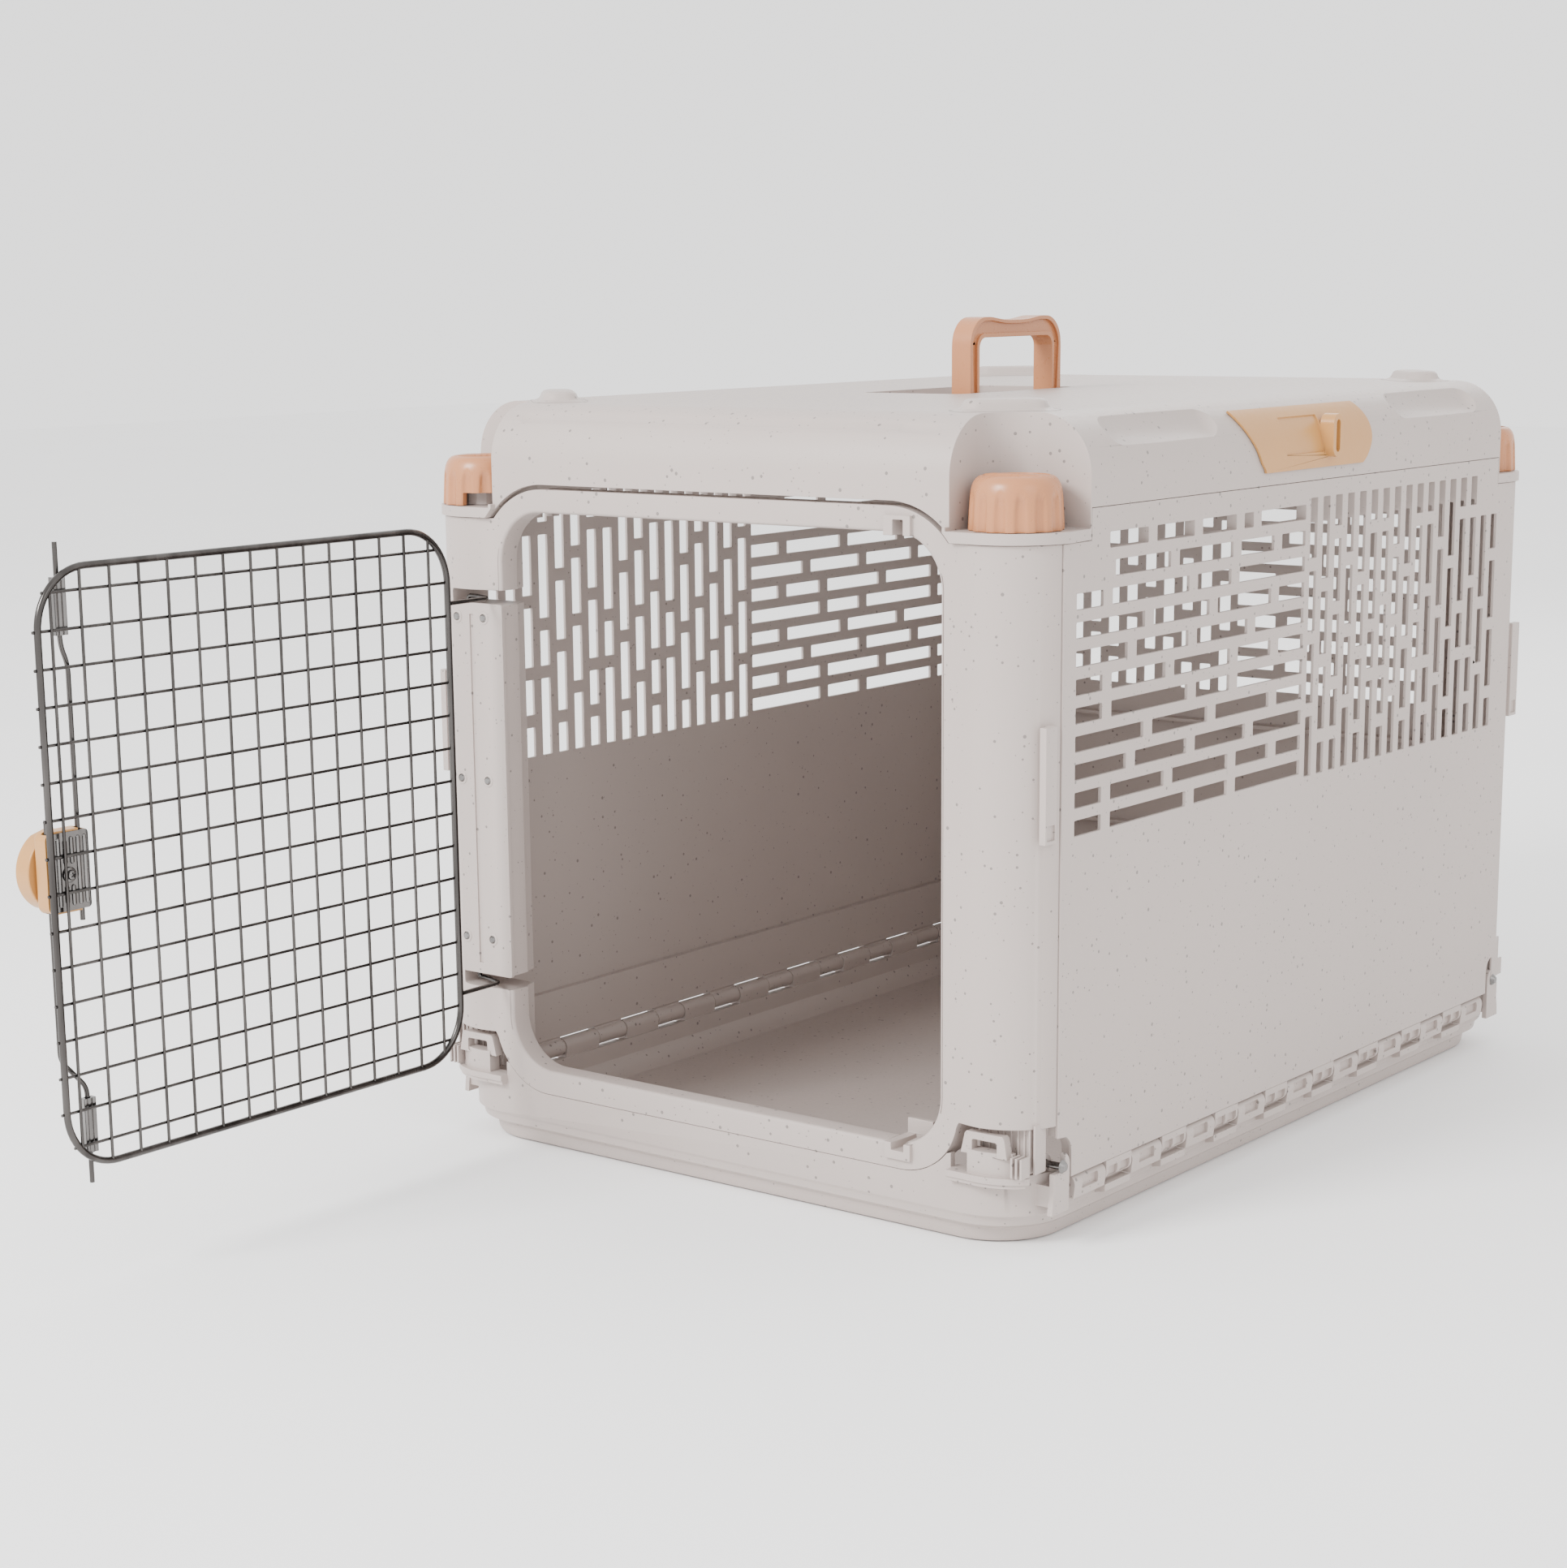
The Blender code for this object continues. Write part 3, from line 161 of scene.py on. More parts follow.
def metal(name, light, dark, roughness, streak):
    """Plated steel: drawn streaks along one axis and faint cloudiness."""
    n = Nodes(name, roughness, 1.0)
    stretched = n.add("ShaderNodeMapping", Vector=n.place, Scale=streak)
    lines = n.noise(60.0, 4.0, stretched.outputs[0])
    n.set(n.shader.inputs["Base Color"], n.mix(n.remap(lines, 0.3, 0.7, 0.0, 1.0), (*dark, 1), (*light, 1)))
    n.set(n.shader.inputs["Roughness"], n.remap(lines, 0.3, 0.7, roughness - 0.05, roughness + 0.08))
    n.bump(lines, 0.05, 0.0003)
    return n.material


STONE = stone_plastic()
PEACH = tinted_plastic("peach_plastic", (0.480, 0.196, 0.084), (0.445, 0.180, 0.075), 0.30)
OCHRE = tinted_plastic("ochre_plastic", (0.500, 0.250, 0.078), (0.470, 0.232, 0.070), 0.33)
# Painted reflection: the chrome wire's base colour is set far darker than bare chrome, standing in for the dark
# surroundings it mirrors; the streaks along it are real.
WIRE_PAINTED_REFLECTION = metal("wire_chrome", (0.105, 0.098, 0.094), (0.050, 0.046, 0.044), 0.20, (1.0, 1.0, 0.15))
# Painted reflection: the plated steel's base colour is likewise darkened to stand in for the dark surroundings it
# mirrors.
STEEL_PAINTED_REFLECTION = metal("plated_steel", (0.26, 0.25, 0.245), (0.13, 0.124, 0.120), 0.22, (1.0, 1.0, 0.2))
SLOTS = {"stone_plastic": STONE, "peach_plastic": PEACH, "ochre_plastic": OCHRE, "wire_chrome": WIRE_PAINTED_REFLECTION,
         "plated_steel": STEEL_PAINTED_REFLECTION}


# ---------------------------------------------------------------- shapes
def to_mesh(bm, tidy=True):
    if tidy:
        bmesh.ops.recalc_face_normals(bm, faces=bm.faces[:])
    mesh = bpy.data.meshes.new("shape")
    bm.to_mesh(mesh)
    bm.free()
    return mesh


def box(low, high):
    bm = bmesh.new()
    bmesh.ops.create_cube(bm, size=1)
    bmesh.ops.scale(bm, vec=[b - a for a, b in zip(low, high)], verts=bm.verts[:])
    bmesh.ops.translate(bm, vec=[(a + b) / 2 for a, b in zip(low, high)], verts=bm.verts[:])
    return to_mesh(bm)


def rod(start, end, radius, sides=32, end_radius=None):
    start = Vector(start)
    end = Vector(end)
    bm = bmesh.new()
    bmesh.ops.create_cone(bm, cap_ends=True, segments=sides, radius1=radius,
                          radius2=radius if end_radius is None else end_radius, depth=(end - start).length)
    turn = (end - start).to_track_quat("Z", "Y").to_matrix().to_4x4()
    bmesh.ops.transform(bm, matrix=Matrix.Translation((start + end) / 2) @ turn, verts=bm.verts[:])
    return to_mesh(bm)


def capsule(start, end, radius, squeeze=(1, 1, 1), sides=40):
    """A round-ended bar along its longest axis."""
    start = Vector(start)
    end = Vector(end)
    along = end - start
    axis = max(range(3), key=lambda i: abs(along[i]))
    bm = bmesh.new()
    bmesh.ops.create_uvsphere(bm, u_segments=sides, v_segments=sides // 2, radius=radius)
    turn = {0: Matrix.Rotation(math.pi / 2, 3, "Y"), 1: Matrix.Rotation(math.pi / 2, 3, "X"), 2: Matrix.Identity(3)}
    bmesh.ops.rotate(bm, matrix=turn[axis], verts=bm.verts[:])
    bmesh.ops.scale(bm, vec=squeeze, verts=bm.verts[:])
    for vert in bm.verts:
        if abs(vert.co[axis]) > 1e-4:
            vert.co[axis] += math.copysign(abs(along[axis]) / 2, vert.co[axis])
    bmesh.ops.translate(bm, vec=(start + end) / 2, verts=bm.verts[:])
    return to_mesh(bm)


AXES = {
    "X": Matrix(((0, 0, 1, 0), (1, 0, 0, 0), (0, 1, 0, 0), (0, 0, 0, 1))),
    "Y": Matrix(((1, 0, 0, 0), (0, 0, -1, 0), (0, 1, 0, 0), (0, 0, 0, 1))),
    "Z": Matrix.Identity(4),
}


def plate(axis, outline, low, high):
    """A flat outline extruded along an axis. X takes (y, z), Y takes (x, z), Z takes (x, y)."""
    bm = bmesh.new()
    area = sum(a[0] * b[1] - b[0] * a[1] for a, b in zip(outline, outline[1:] + outline[:1]))
    loop = outline if area > 0 else outline[::-1]
    lower = [bm.verts.new((u, v, low)) for u, v in loop]
    upper = [bm.verts.new((u, v, high)) for u, v in loop]
    bm.faces.new(lower[::-1])
    bm.faces.new(upper)
    for i in range(len(loop)):
        after = (i + 1) % len(loop)
        bm.faces.new((lower[i], lower[after], upper[after], upper[i]))
    matrix = AXES[axis]
    if axis == "Y":
        for vert in bm.verts:
            vert.co.z = low + high - vert.co.z
        matrix = Matrix.Translation((0, low + high, 0)) @ matrix
    bmesh.ops.transform(bm, matrix=matrix, verts=bm.verts[:])
    return to_mesh(bm)


def tube(points, radius, sides=12, closed=False):
    """A round wire through points."""
    count = len(points)
    spots = [Vector(p) for p in points]
    bm = bmesh.new()
    rings = []
    side = None
    for i, spot in enumerate(spots):
        before = spots[i - 1] if (i or closed) else spot
        after = spots[(i + 1) % count] if (i + 1 < count or closed) else spot
        along = (after - before).normalized()
        if side is None:
            side = along.orthogonal().normalized()
        side = (side - along * side.dot(along)).normalized()
        other = along.cross(side)
        rings.append([bm.verts.new(spot + side * radius * math.cos(2 * math.pi * k / sides)
                                   + other * radius * math.sin(2 * math.pi * k / sides)) for k in range(sides)])
    for i in range(count if closed else count - 1):
        one, two = rings[i], rings[(i + 1) % count]
        shift = 0
        if closed and i == count - 1:
            shift = min(range(sides), key=lambda k: (one[0].co - two[k].co).length)
        for k in range(sides):
            after = (k + 1) % sides
            bm.faces.new((one[k], one[after], two[(after + shift) % sides], two[(k + shift) % sides]))
    if not closed:
        bm.faces.new(rings[0][::-1])
        bm.faces.new(rings[-1])
    return to_mesh(bm)


def bent(points, radius, steps=6):
    """Points of a bent wire with its corners rounded."""
    spots = [Vector(p) for p in points]
    path = [spots[0]]
    for before, spot, after in zip(spots, spots[1:], spots[2:]):
        reach = min(radius, (spot - before).length * 0.45, (after - spot).length * 0.45)
        start = spot + (before - spot).normalized() * reach
        end = spot + (after - spot).normalized() * reach
        for i in range(steps + 1):
            t = i / steps
            path.append(start * (1 - t) ** 2 + spot * 2 * t * (1 - t) + end * t * t)
    path.append(spots[-1])
    return path


def arc(centre, radius, start, end, steps):
    found = []
    for i in range(steps + 1):
        angle = math.radians(start + (end - start) * i / steps)
        found.append((centre[0] + radius * math.cos(angle), centre[1] + radius * math.sin(angle)))
    return found


def rounded(x0, x1, y0, y1, radius, steps=12):
    found = []
    for cx, cy, start in ((x1 - radius, y0 + radius, -90), (x1 - radius, y1 - radius, 0),
                          (x0 + radius, y1 - radius, 90), (x0 + radius, y0 + radius, 180)):
        found += arc((cx, cy), radius, start, start + 90, steps)
    return found


def skin(rings):
    """A closed body through rings of equal length, from the bottom up."""
    bm = bmesh.new()
    loops = [[bm.verts.new(p) for p in ring] for ring in rings]
    for lower, upper in zip(loops, loops[1:]):
        for i, vert in enumerate(lower):
            after = (i + 1) % len(lower)
            bm.faces.new((vert, lower[after], upper[after], upper[i]))
    bm.faces.new(loops[0][::-1])
    bm.faces.new(loops[-1])
    return to_mesh(bm)


def loft(sections, steps=14):
    return skin([[(x, y, z) for x, y in rounded(-half_x, half_x, -half_y, half_y, radius, steps)]
                 for half_x, half_y, radius, z in sections])


def moved(mesh, matrix):
    copy = mesh.copy()
    copy.transform(matrix)
    if matrix.determinant() < 0:
        copy.flip_normals()
    return copy


def mirrored(mesh, x=1, y=1):
    return moved(mesh, Matrix.Diagonal((x, y, 1, 1)))


def group(meshes):
    bm = bmesh.new()
    for mesh in meshes:
        bm.from_mesh(mesh)
    return to_mesh(bm, tidy=False)


def corners(mesh):
    return group([mirrored(mesh, x, y) for x in (1, -1) for y in (1, -1)])


def sides(mesh):
    return group([mesh, mirrored(mesh, -1, 1)])


def solve(mesh, steps):
    """Applies a list of (operation, tool mesh) to a body."""
    body = bpy.data.objects.new("body", mesh)
    SCENE.collection.objects.link(body)
    tools = []
    for operation, tool_mesh in steps:
        tool = bpy.data.objects.new("tool", tool_mesh)
        SCENE.collection.objects.link(tool)
        tools.append(tool)
        change = body.modifiers.new("change", "BOOLEAN")
        change.operation = operation
        change.solver = "EXACT"
        change.object = tool
    bpy.context.view_layer.update()
    made = bpy.data.meshes.new_from_object(body.evaluated_get(bpy.context.evaluated_depsgraph_get()))
    for item in [body] + tools:
        bpy.data.objects.remove(item)
    return made


def cut(mesh, *tools):
    return solve(mesh, [("DIFFERENCE", tool) for tool in tools])


def join(mesh, *tools):
    return solve(mesh, [("UNION", tool) for tool in tools])


def common(mesh, tool):
    return solve(mesh, [("INTERSECT", tool)])


def flared(x0, x1, z0, z1, radius, front, back, roll):
    """A doorway cutter along Y whose mouth rolls outwards at both ends."""
    rings = []
    stops = [(front - 20, roll)] + [(front + roll * (1 - math.cos(a)), roll * (1 - math.sin(a)))
                                    for a in (math.pi / 2 * i / 5 for i in range(6))]
    stops += [(back - roll * (1 - math.cos(a)), roll * (1 - math.sin(a)))
              for a in (math.pi / 2 * (5 - i) / 5 for i in range(6))] + [(back + 20, roll)]
    for y, grow in stops:
        rings.append([(x, y, z) for x, z in rounded(x0 - grow, x1 + grow, z0 - grow, z1 + grow, radius + grow, 18)])
    return skin(rings)


def piece(name, mesh, body, look, stands_for=(), bevel=0.0, segments=3, sharp=35, limit=38, weld=0.02):
    """Finishes a mesh as a visible piece: tidy faces, softened edges, material, body and the node it shows."""
    bm = bmesh.new()
    bm.from_mesh(mesh)
    bmesh.ops.remove_doubles(bm, verts=bm.verts[:], dist=weld)
    bmesh.ops.dissolve_degenerate(bm, edges=bm.edges[:], dist=weld)
    bmesh.ops.dissolve_limit(bm, angle_limit=math.radians(0.3), verts=bm.verts[:], edges=bm.edges[:])
    bmesh.ops.triangulate(bm, faces=[face for face in bm.faces if len(face.verts) > 4])
    bmesh.ops.scale(bm, vec=(0.001, 0.001, 0.001), verts=bm.verts[:])
    bm.to_mesh(mesh)
    bm.free()
    made = bpy.data.objects.new(name, mesh)
    SCENE.collection.objects.link(made)
    mesh.materials.clear()
    mesh.materials.append(SLOTS[look])
    mesh.shade_smooth()
    if bevel:
        edge = made.modifiers.new("edge", "BEVEL")
        edge.width = bevel * 0.001
        edge.segments = segments
        edge.limit_method = "ANGLE"
        edge.angle_limit = math.radians(limit)
        edge.use_clamp_overlap = False
        edge.miter_outer = "MITER_ARC"
        edge.harden_normals = True
    else:
        mesh.set_sharp_from_angle(angle=math.radians(sharp))
    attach(made, body)
    if stands_for:
        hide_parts(*stands_for)
    return made


# ---------------------------------------------------------------- tray
def foot_arc(radius, centre, side):
    points = arc(centre, radius, -90, -8, 16)
    return points if side > 0 else [(-x, z) for x, z in points[::-1]]


def knuckle_centres(count):
    return [(-(count - 1) / 2 + i) * 90 for i in range(count)]


def knuckles(side, count, length, profile):
    outline = [(side * x, z) for x, z in profile]
    return group([plate("Y", outline, y - length / 2, y + length / 2) for y in knuckle_centres(count)])


def corner_outline(grow, inner_x, inner_y, edge_y):
    radius = CORNER_R + grow
    centre = (HALF_W - CORNER_R, -(BULGE_Y - CORNER_R))
    reach = (inner_y - centre[1]) / radius
    if reach < 0:
        return [(inner_x, inner_y), (inner_x, edge_y),
                *arc(centre, radius, -100, math.degrees(math.asin(reach)), 14)]
    return [(inner_x, inner_y), (inner_x, edge_y), *arc(centre, radius, -100, -4, 22), (HALF_W, inner_y)]


def base_tray():
    shell = loft([
        (298, 428, 56, 0), (302, 432, 59, 1.2), (303.5, 433.5, 60, 4), (305, 435, 61, 13), (308, 438, 61, 15.5),
        (312.5, 442.5, 60, 18), (313.5, 443.5, 60, 24), (314, 444, 60, 25), (316, 446, 58, 27.5),
        (316, 446.5, 58, 77)], 18)
    inside = loft([(297, 427, 54, 4), (300, 430, 55, 15), (308, 438, 55, 22), (311, 441, 54, 90)])
    above = [(-330, 62), (-246, 62), (-246, 76.5),
             *[p for p in foot_arc(59, (196, 112.5), -1) if p[1] < 76.5],
             *[p for p in foot_arc(59, (196, 112.5), 1) if p[1] < 76.5],
             (246, 76.5), (246, 62), (330, 62), (330, 130), (-330, 130)]
    trims = [plate("Y", above, -500, 500)]
    trims += [box((290, -391.5, 38), (350, 391.5, 130)), box((-350, -391.5, 38), (-290, 391.5, 130))]
    shelf = plate("Z", corner_outline(3.4, 246, -436, -454.6), 59, 64.5)
    lip = plate("Z", corner_outline(1.6, 246, -437, -453), 55.5, 59.5)
    lock_box = plate("Z", corner_outline(-1.5, 264, -437, -449.5), 63, 84)
    lock_box_end = box((318, -460, 64.5), (340, -400, 90))
    lock_pocket = box((303, -452, 68), (312, -430, 90))
    tab_hole = plate("Y", rounded(268, 292, 80.5, 92.8, 1.8, 4), -455, -435)
    tab = cut(plate("Y", [(257, 80), (302, 80), (299, 97), (297, 99), (263, 99), (261, 97)], -448.5, -440), tab_hole)
    cheek = [(-418, 40), (-419, 30), (-394, 30), (-393, 69), *arc((-404.5, 69), 11.5, 0, 180, 18), (-416, 48)]
    outer_cheek = plate("X", cheek, 321.5, 326.5)
    inner_cheek = plate("X", cheek, 290, 295)
    foot = box((290.5, -416, 36), (322.5, -394.5, 54))
    ribs = group([box((x, -448.5, 66), (x + 2, -436, 83)) for x in (305, 309.5, 314)])
    unions = [corners(shelf), corners(lip), corners(foot), corners(group([outer_cheek, inner_cheek])),
              corners(lock_box), corners(tab)]
    flaps = []
    for side in (-1, 1):
        barrel = [(310.5, 36), (324.5, 36), *arc(HINGE, 8.5, 0, 180, 16)]
        unions.append(knuckles(side, 9, 48, barrel))
        flap = [(312, 27), (324.5, 30), (324.5, 36), (312, 36)]
        flaps.append(knuckles(side, 8, 40, flap))
    unions += flaps
    bores = [rod((side * 317.5, -395, 47.5), (side * 317.5, 395, 47.5), 3.4, 24) for side in (-1, 1)]
    windows = []
    for side in (-1, 1):
        for y in knuckle_centres(9):
            low, high = sorted((side * 322.2, side * 335))
            windows.append(box((low, y - 12, 42.5), (high, y + 12, 51.5)))
    steps = [("DIFFERENCE", tool) for tool in trims + [inside]]
    steps += [("UNION", tool) for tool in unions]
    steps += [("DIFFERENCE", tool) for tool in
              (corners(lock_box_end), corners(lock_pocket), group(bores), group(windows),
               corners(rod((280, -404.5, 69), (340, -404.5, 69), 3.4, 20)))]
    mesh = solve(shell, steps)
    mesh = join(mesh, corners(ribs))
    piece("tray_moulding", mesh, "tray", "stone_plastic", ["base_tray"], 0.35, 2, limit=40)


# ---------------------------------------------------------------- side panels
def slot_runs(start, end, bars, bar):
    lows = [start] + [b + bar / 2 for b in bars]
    highs = [b - bar / 2 for b in bars] + [end]
    return list(zip(lows, highs))


def lying_slots():
    courses = ((-15.34, -9.4, -6.3), (-15.34, -11.0, -6.3, -3.15), (-13.67, -9.4, -5.0), (-12.5, -7.9, -3.2))
    rows = [slot_runs(-17.4, -0.87, courses[row % 4], 0.62) for row in range(9)]
    rows.append(slot_runs(-14.85, -0.87, (-10.75, -6.2, -3.05), 0.62))
    rows.append(slot_runs(-15.25, -0.87, (-12.35, -9.1, -6.0, -4.7), 0.6))
    return rows


def standing_slots():
    courses = ((2.65, 5.5, 8.37), (1.5, 4.5, 7.5), (3.5, 5.5, 9.5), (1.5, 3.5, 6.5, 9.5))
    order = [0, 1, 3] + [column % 4 for column in range(14)]
    columns = []
    for column, course in enumerate(order):
        top = 10.97 if column < 15 else 9.25
        columns.append(slot_runs(0.0, top, [b for b in courses[course] if b < top - 1], 0.53))
    return columns


def grille_slots():
    slots = []
    for row, runs in enumerate(lying_slots()):
        low = 337.9 + row * 22.5
        slots += [(start * 22.5, end * 22.5, low, low + 12.7) for start, end in runs]
    for column, runs in enumerate(standing_slots()):
        near = -10.7 + column * 23.04
        slots += [(near, near + 12.7, 334 + low * 22.5, 334 + high * 22.5) for low, high in runs]
    return slots


def rear_grille_cutter():
    """The side grille's pattern moved over, cropped to the rear wall and seen from behind."""
    blocks = []
    for near, far, low, high in grille_slots():
        start = max(near + 17.3, -217)
        end = min(far + 17.3, 217)
        top = min(high, 553.5)
        if end - start > 8 and top - low > 8:
            blocks.append(plate("Y", rounded(-end, -start, low, top, 0.9, 2), 435, 460))
    return group(blocks)


def grille_cutter(side, turn):
    blocks = []
    for near, far, low, high in grille_slots():
        y0, y1 = sorted((turn * near, turn * far))
        x0, x1 = sorted((side * 300, side * 335))
        loop = rounded(y0, y1, low, high, 0.9, 2)
        blocks.append(plate("X", loop, x0, x1))
    return group(blocks)


def panel_outline(inset):
    edge = 410.6 - inset
    top = PANEL_TOP - inset
    step_y = 370.4 - inset
    step_z = COLUMN_TOP - inset
    half = [(390 - inset, 57 + inset), *arc((404.5, 79), 14.5 + inset, 180, 115, 8), (edge, 93.5 + inset),
            (edge, step_z), (step_y, step_z), (step_y, top)]
    return half + [(-y, z) for y, z in half[::-1]]


def side_panel(name, side, turn):
    outer = sorted((side * HALF_W, side * (HALF_W - 3)))
    inner = sorted((side * (HALF_W - 1), side * (HALF_W - 10)))
    face = plate("X", panel_outline(0), *outer)
    rim = cut(plate("X", panel_outline(0.8), *inner),
              plate("X", rounded(-399.5, 399.5, 105, 558.5, 8, 6), *sorted((side * 300, side * 340))))
    barrel = [*arc(HINGE, 8.2, 97, 360, 18), (325.4, 64), (316.5, 64)]
    bore = rod((side * 317.5, -360, 47.5), (side * 317.5, 360, 47.5), 3.4, 24)
    windows = []
    for y in knuckle_centres(8):
        for low_y, high_y in ((-16.5, -2.5), (2.5, 16.5)):
            x0, x1 = sorted((side * 322.2, side * 335))
            windows.append(box((x0, y + low_y, 42.5), (x1, y + high_y, 50.8)))
    mesh = solve(face, [("UNION", rim), ("UNION", knuckles(side, 8, 40, barrel)), ("DIFFERENCE", bore),
                        ("DIFFERENCE", group(windows)), ("DIFFERENCE", grille_cutter(side, turn))])
    piece(f"grille_panel_{name}", mesh, f"panel_{name}", "stone_plastic", [f"side_panel_{name}"], 0.45, 2,
          limit=45)


# ---------------------------------------------------------------- end panels
def frame_outline():
    foot = [p for p in foot_arc(58.5, (196, 112.5), 1) if p[1] < COLUMN_LOW]
    shoulder = [p for p in arc((185, 523.5), 74, 20, 90, 18) if p[1] > COLUMN_TOP]
    half = [*foot, (255.5, COLUMN_LOW), (340, COLUMN_LOW), (340, COLUMN_TOP), (242.5, COLUMN_TOP), *shoulder]
    return half + [(-x, z) for x, z in half[::-1]]


def plan_outline():
    centre = (HALF_W - CORNER_R, -(BULGE_Y - CORNER_R))
    half = [(236, -HALF_L), (246, -447.6), (256, -449.4), *arc(centre, CORNER_R, -98, -13, 20),
            (324.6, -SEAM_Y), (242, -SEAM_Y), (238, -424)]
    return half + [(-x, y) for x, y in half[::-1]]


def end_pieces(end):
    plan = plate("Z", plan_outline(), 0, 620)
    hollow = plate("Z", [(249, -395), (249, -444.5), *arc((HALF_W - CORNER_R, -400), 48, -100, -9, 10),
                         (321.4, -395)], 112, 562)
    foot = box((264, -431, 66.5), (311, -417.5, 108))
    fins = (266, 273, 280, 287, 294, 301, 307, 312, 317)
    comb = group([box((x, -433, 67), (x + 2, -417.5, 108)) for x in fins])
    lug = plate("X", [(-420.5, 80), (-420.5, 67.5), *arc((-404.5, 69), 8, -60, 90, 14)], 298.5, 311)
    bore = rod((290, -404.5, 69), (320, -404.5, 69), 3.4, 20)
    x, y = KNOB_AT[0], -KNOB_AT[1]
    pegs = [box((x - 6, y - 8, 564), (x + 6, -SEAM_Y - 0.3, 573)), rod((x, y, 570.8), (x, y, 590), 4.5, 20),
            box((x - 10, y - 4.5, 588.5), (x + 10, y + 4.5, 592))]
    catch = box((320, -434, 337), (326.4, -418, 430))
    catch = cut(catch, box((324.4, -431.5, 340), (335, -420.5, 352)))
    return [mirrored(m, 1, end) for m in (plan, hollow, foot, lug, bore, catch, comb, *pegs)]


def front_panel():
    plan, hollow, foot, lug, bore, catch, comb, *pegs = end_pieces(1)
    doorway = flared(-235, 235, 76, 577, 45, -HALF_L, -424, 3)
    mesh = cut(common(plate("Y", frame_outline(), -460, -400), plan), doorway)
    keepers = [box((182, -450.5, 62.5), (208, -412, 76.5)), box((182, -416.7, 62.5), (208, -412, 89)),
               box((182, -450.5, 574.5), (208, -412, 590.5)),
               plate("Y", [(208, 577), (208, 590), (222, 590), (232, 577)], -431, -414)]
    rod_path = box((191, -460, 560), (201, -416.2, 587))
    funnel = plate("Z", [(188.5, -452), (201.5, -452), (199, -430), (199, -417), (191, -417), (191, -430)],
                   70, 90)
    notches = [plate("Y", rounded(-293.5, -222, z, z + 13, 2.5, 4), -470, -395) for z in (145, 494)]
    seat = box((-293, -470, 156.5), (-232.5, -446.3, 495.5))
    groove = box((-283.5, -450, 150), (-274.5, -439.5, 500))
    steps = [("UNION", tool) for tool in [sides(foot), sides(lug), sides(catch), sides(comb)] + keepers]
    steps += [("UNION", sides(peg)) for peg in pegs]
    steps += [("DIFFERENCE", tool) for tool in (hollow, sides(bore), rod_path, funnel, *notches, seat, groove)]
    piece("door_surround", solve(mesh, steps), "tray", "stone_plastic", ["front_panel"], 0.6, 2, limit=40)


def rear_panel():
    plan, hollow, foot, lug, bore, catch, comb, *pegs = end_pieces(-1)
    mesh = common(plate("Y", frame_outline(), 400, 460), plan)
    recess = plate("Y", rounded(-231, 231, 66, 583, 30, 12), 400, 443.5)
    field = plate("Y", rounded(-214, 214, 92, 566, 26, 12), 445.2, 470)
    ribs = group([box((-232, 430.5, z - 2), (232, 444, z + 2)) for z in (180, 300)])
    steps = [("DIFFERENCE", tool) for tool in (recess, sides(hollow))]
    steps += [("UNION", tool) for tool in [sides(foot), sides(lug), sides(catch), sides(comb), ribs]]
    steps += [("UNION", sides(peg)) for peg in pegs]
    steps += [("DIFFERENCE", sides(bore)), ("DIFFERENCE", field), ("DIFFERENCE", rear_grille_cutter())]
    piece("rear_moulding", solve(mesh, steps), "tray", "stone_plastic", ["rear_panel"], 0.6, 2, limit=40)


# ---------------------------------------------------------------- lid
def lid_sections(shrink, low):
    base_z = LID_TOP - LID_EDGE
    found = [(HALF_W - shrink, HALF_L - shrink, CORNER_R - shrink, low),
             (HALF_W - shrink, HALF_L - shrink, CORNER_R - shrink, base_z)]
    count = 14
    for i in range(1, count + 1):
        angle = math.pi / 2 * i / count
        inset = LID_EDGE - (LID_EDGE - shrink) * math.cos(angle)
        found.append((HALF_W - inset, HALF_L - inset, max(CORNER_R - inset, 6),
                      base_z + (LID_EDGE - shrink) * math.sin(angle)))
    return found


def niche(grow, low, high):
    x = NICHE[0] - grow
    y = -(NICHE[1] - grow)
    radius = NICHE[2] + grow
    loop = [(x, -500), (360, -500), (360, y), *arc((x + radius, y - radius), radius, 90, 180, 18)]
    return plate("Z", loop, low, high)


def boss():
    rings = []
    for long, wide, radius, z in ((46, 26, 20, LID_TOP - 3), (44, 24.5, 19, LID_TOP + 0.2),
                                  (39, 20, 16, LID_TOP + 0.9), (36, 17, 14, LID_TOP + 2.2),
                                  (34.5, 15.5, 13, LID_TOP + 4.5),
                                  (33.5, 14.5, 12.5, LID_TOP + 7), (31.5, 12.5, 11, LID_TOP + 8.9),
                                  (28.5, 9.5, 8, LID_TOP + 9.6)):
        rings.append([(x, y, z) for x, y in rounded(-long, long, -wide, wide, radius, 8)])
    return moved(skin(rings), Matrix.Translation((238, -362, 0)) @ Matrix.Rotation(math.radians(45), 4, "Z"))


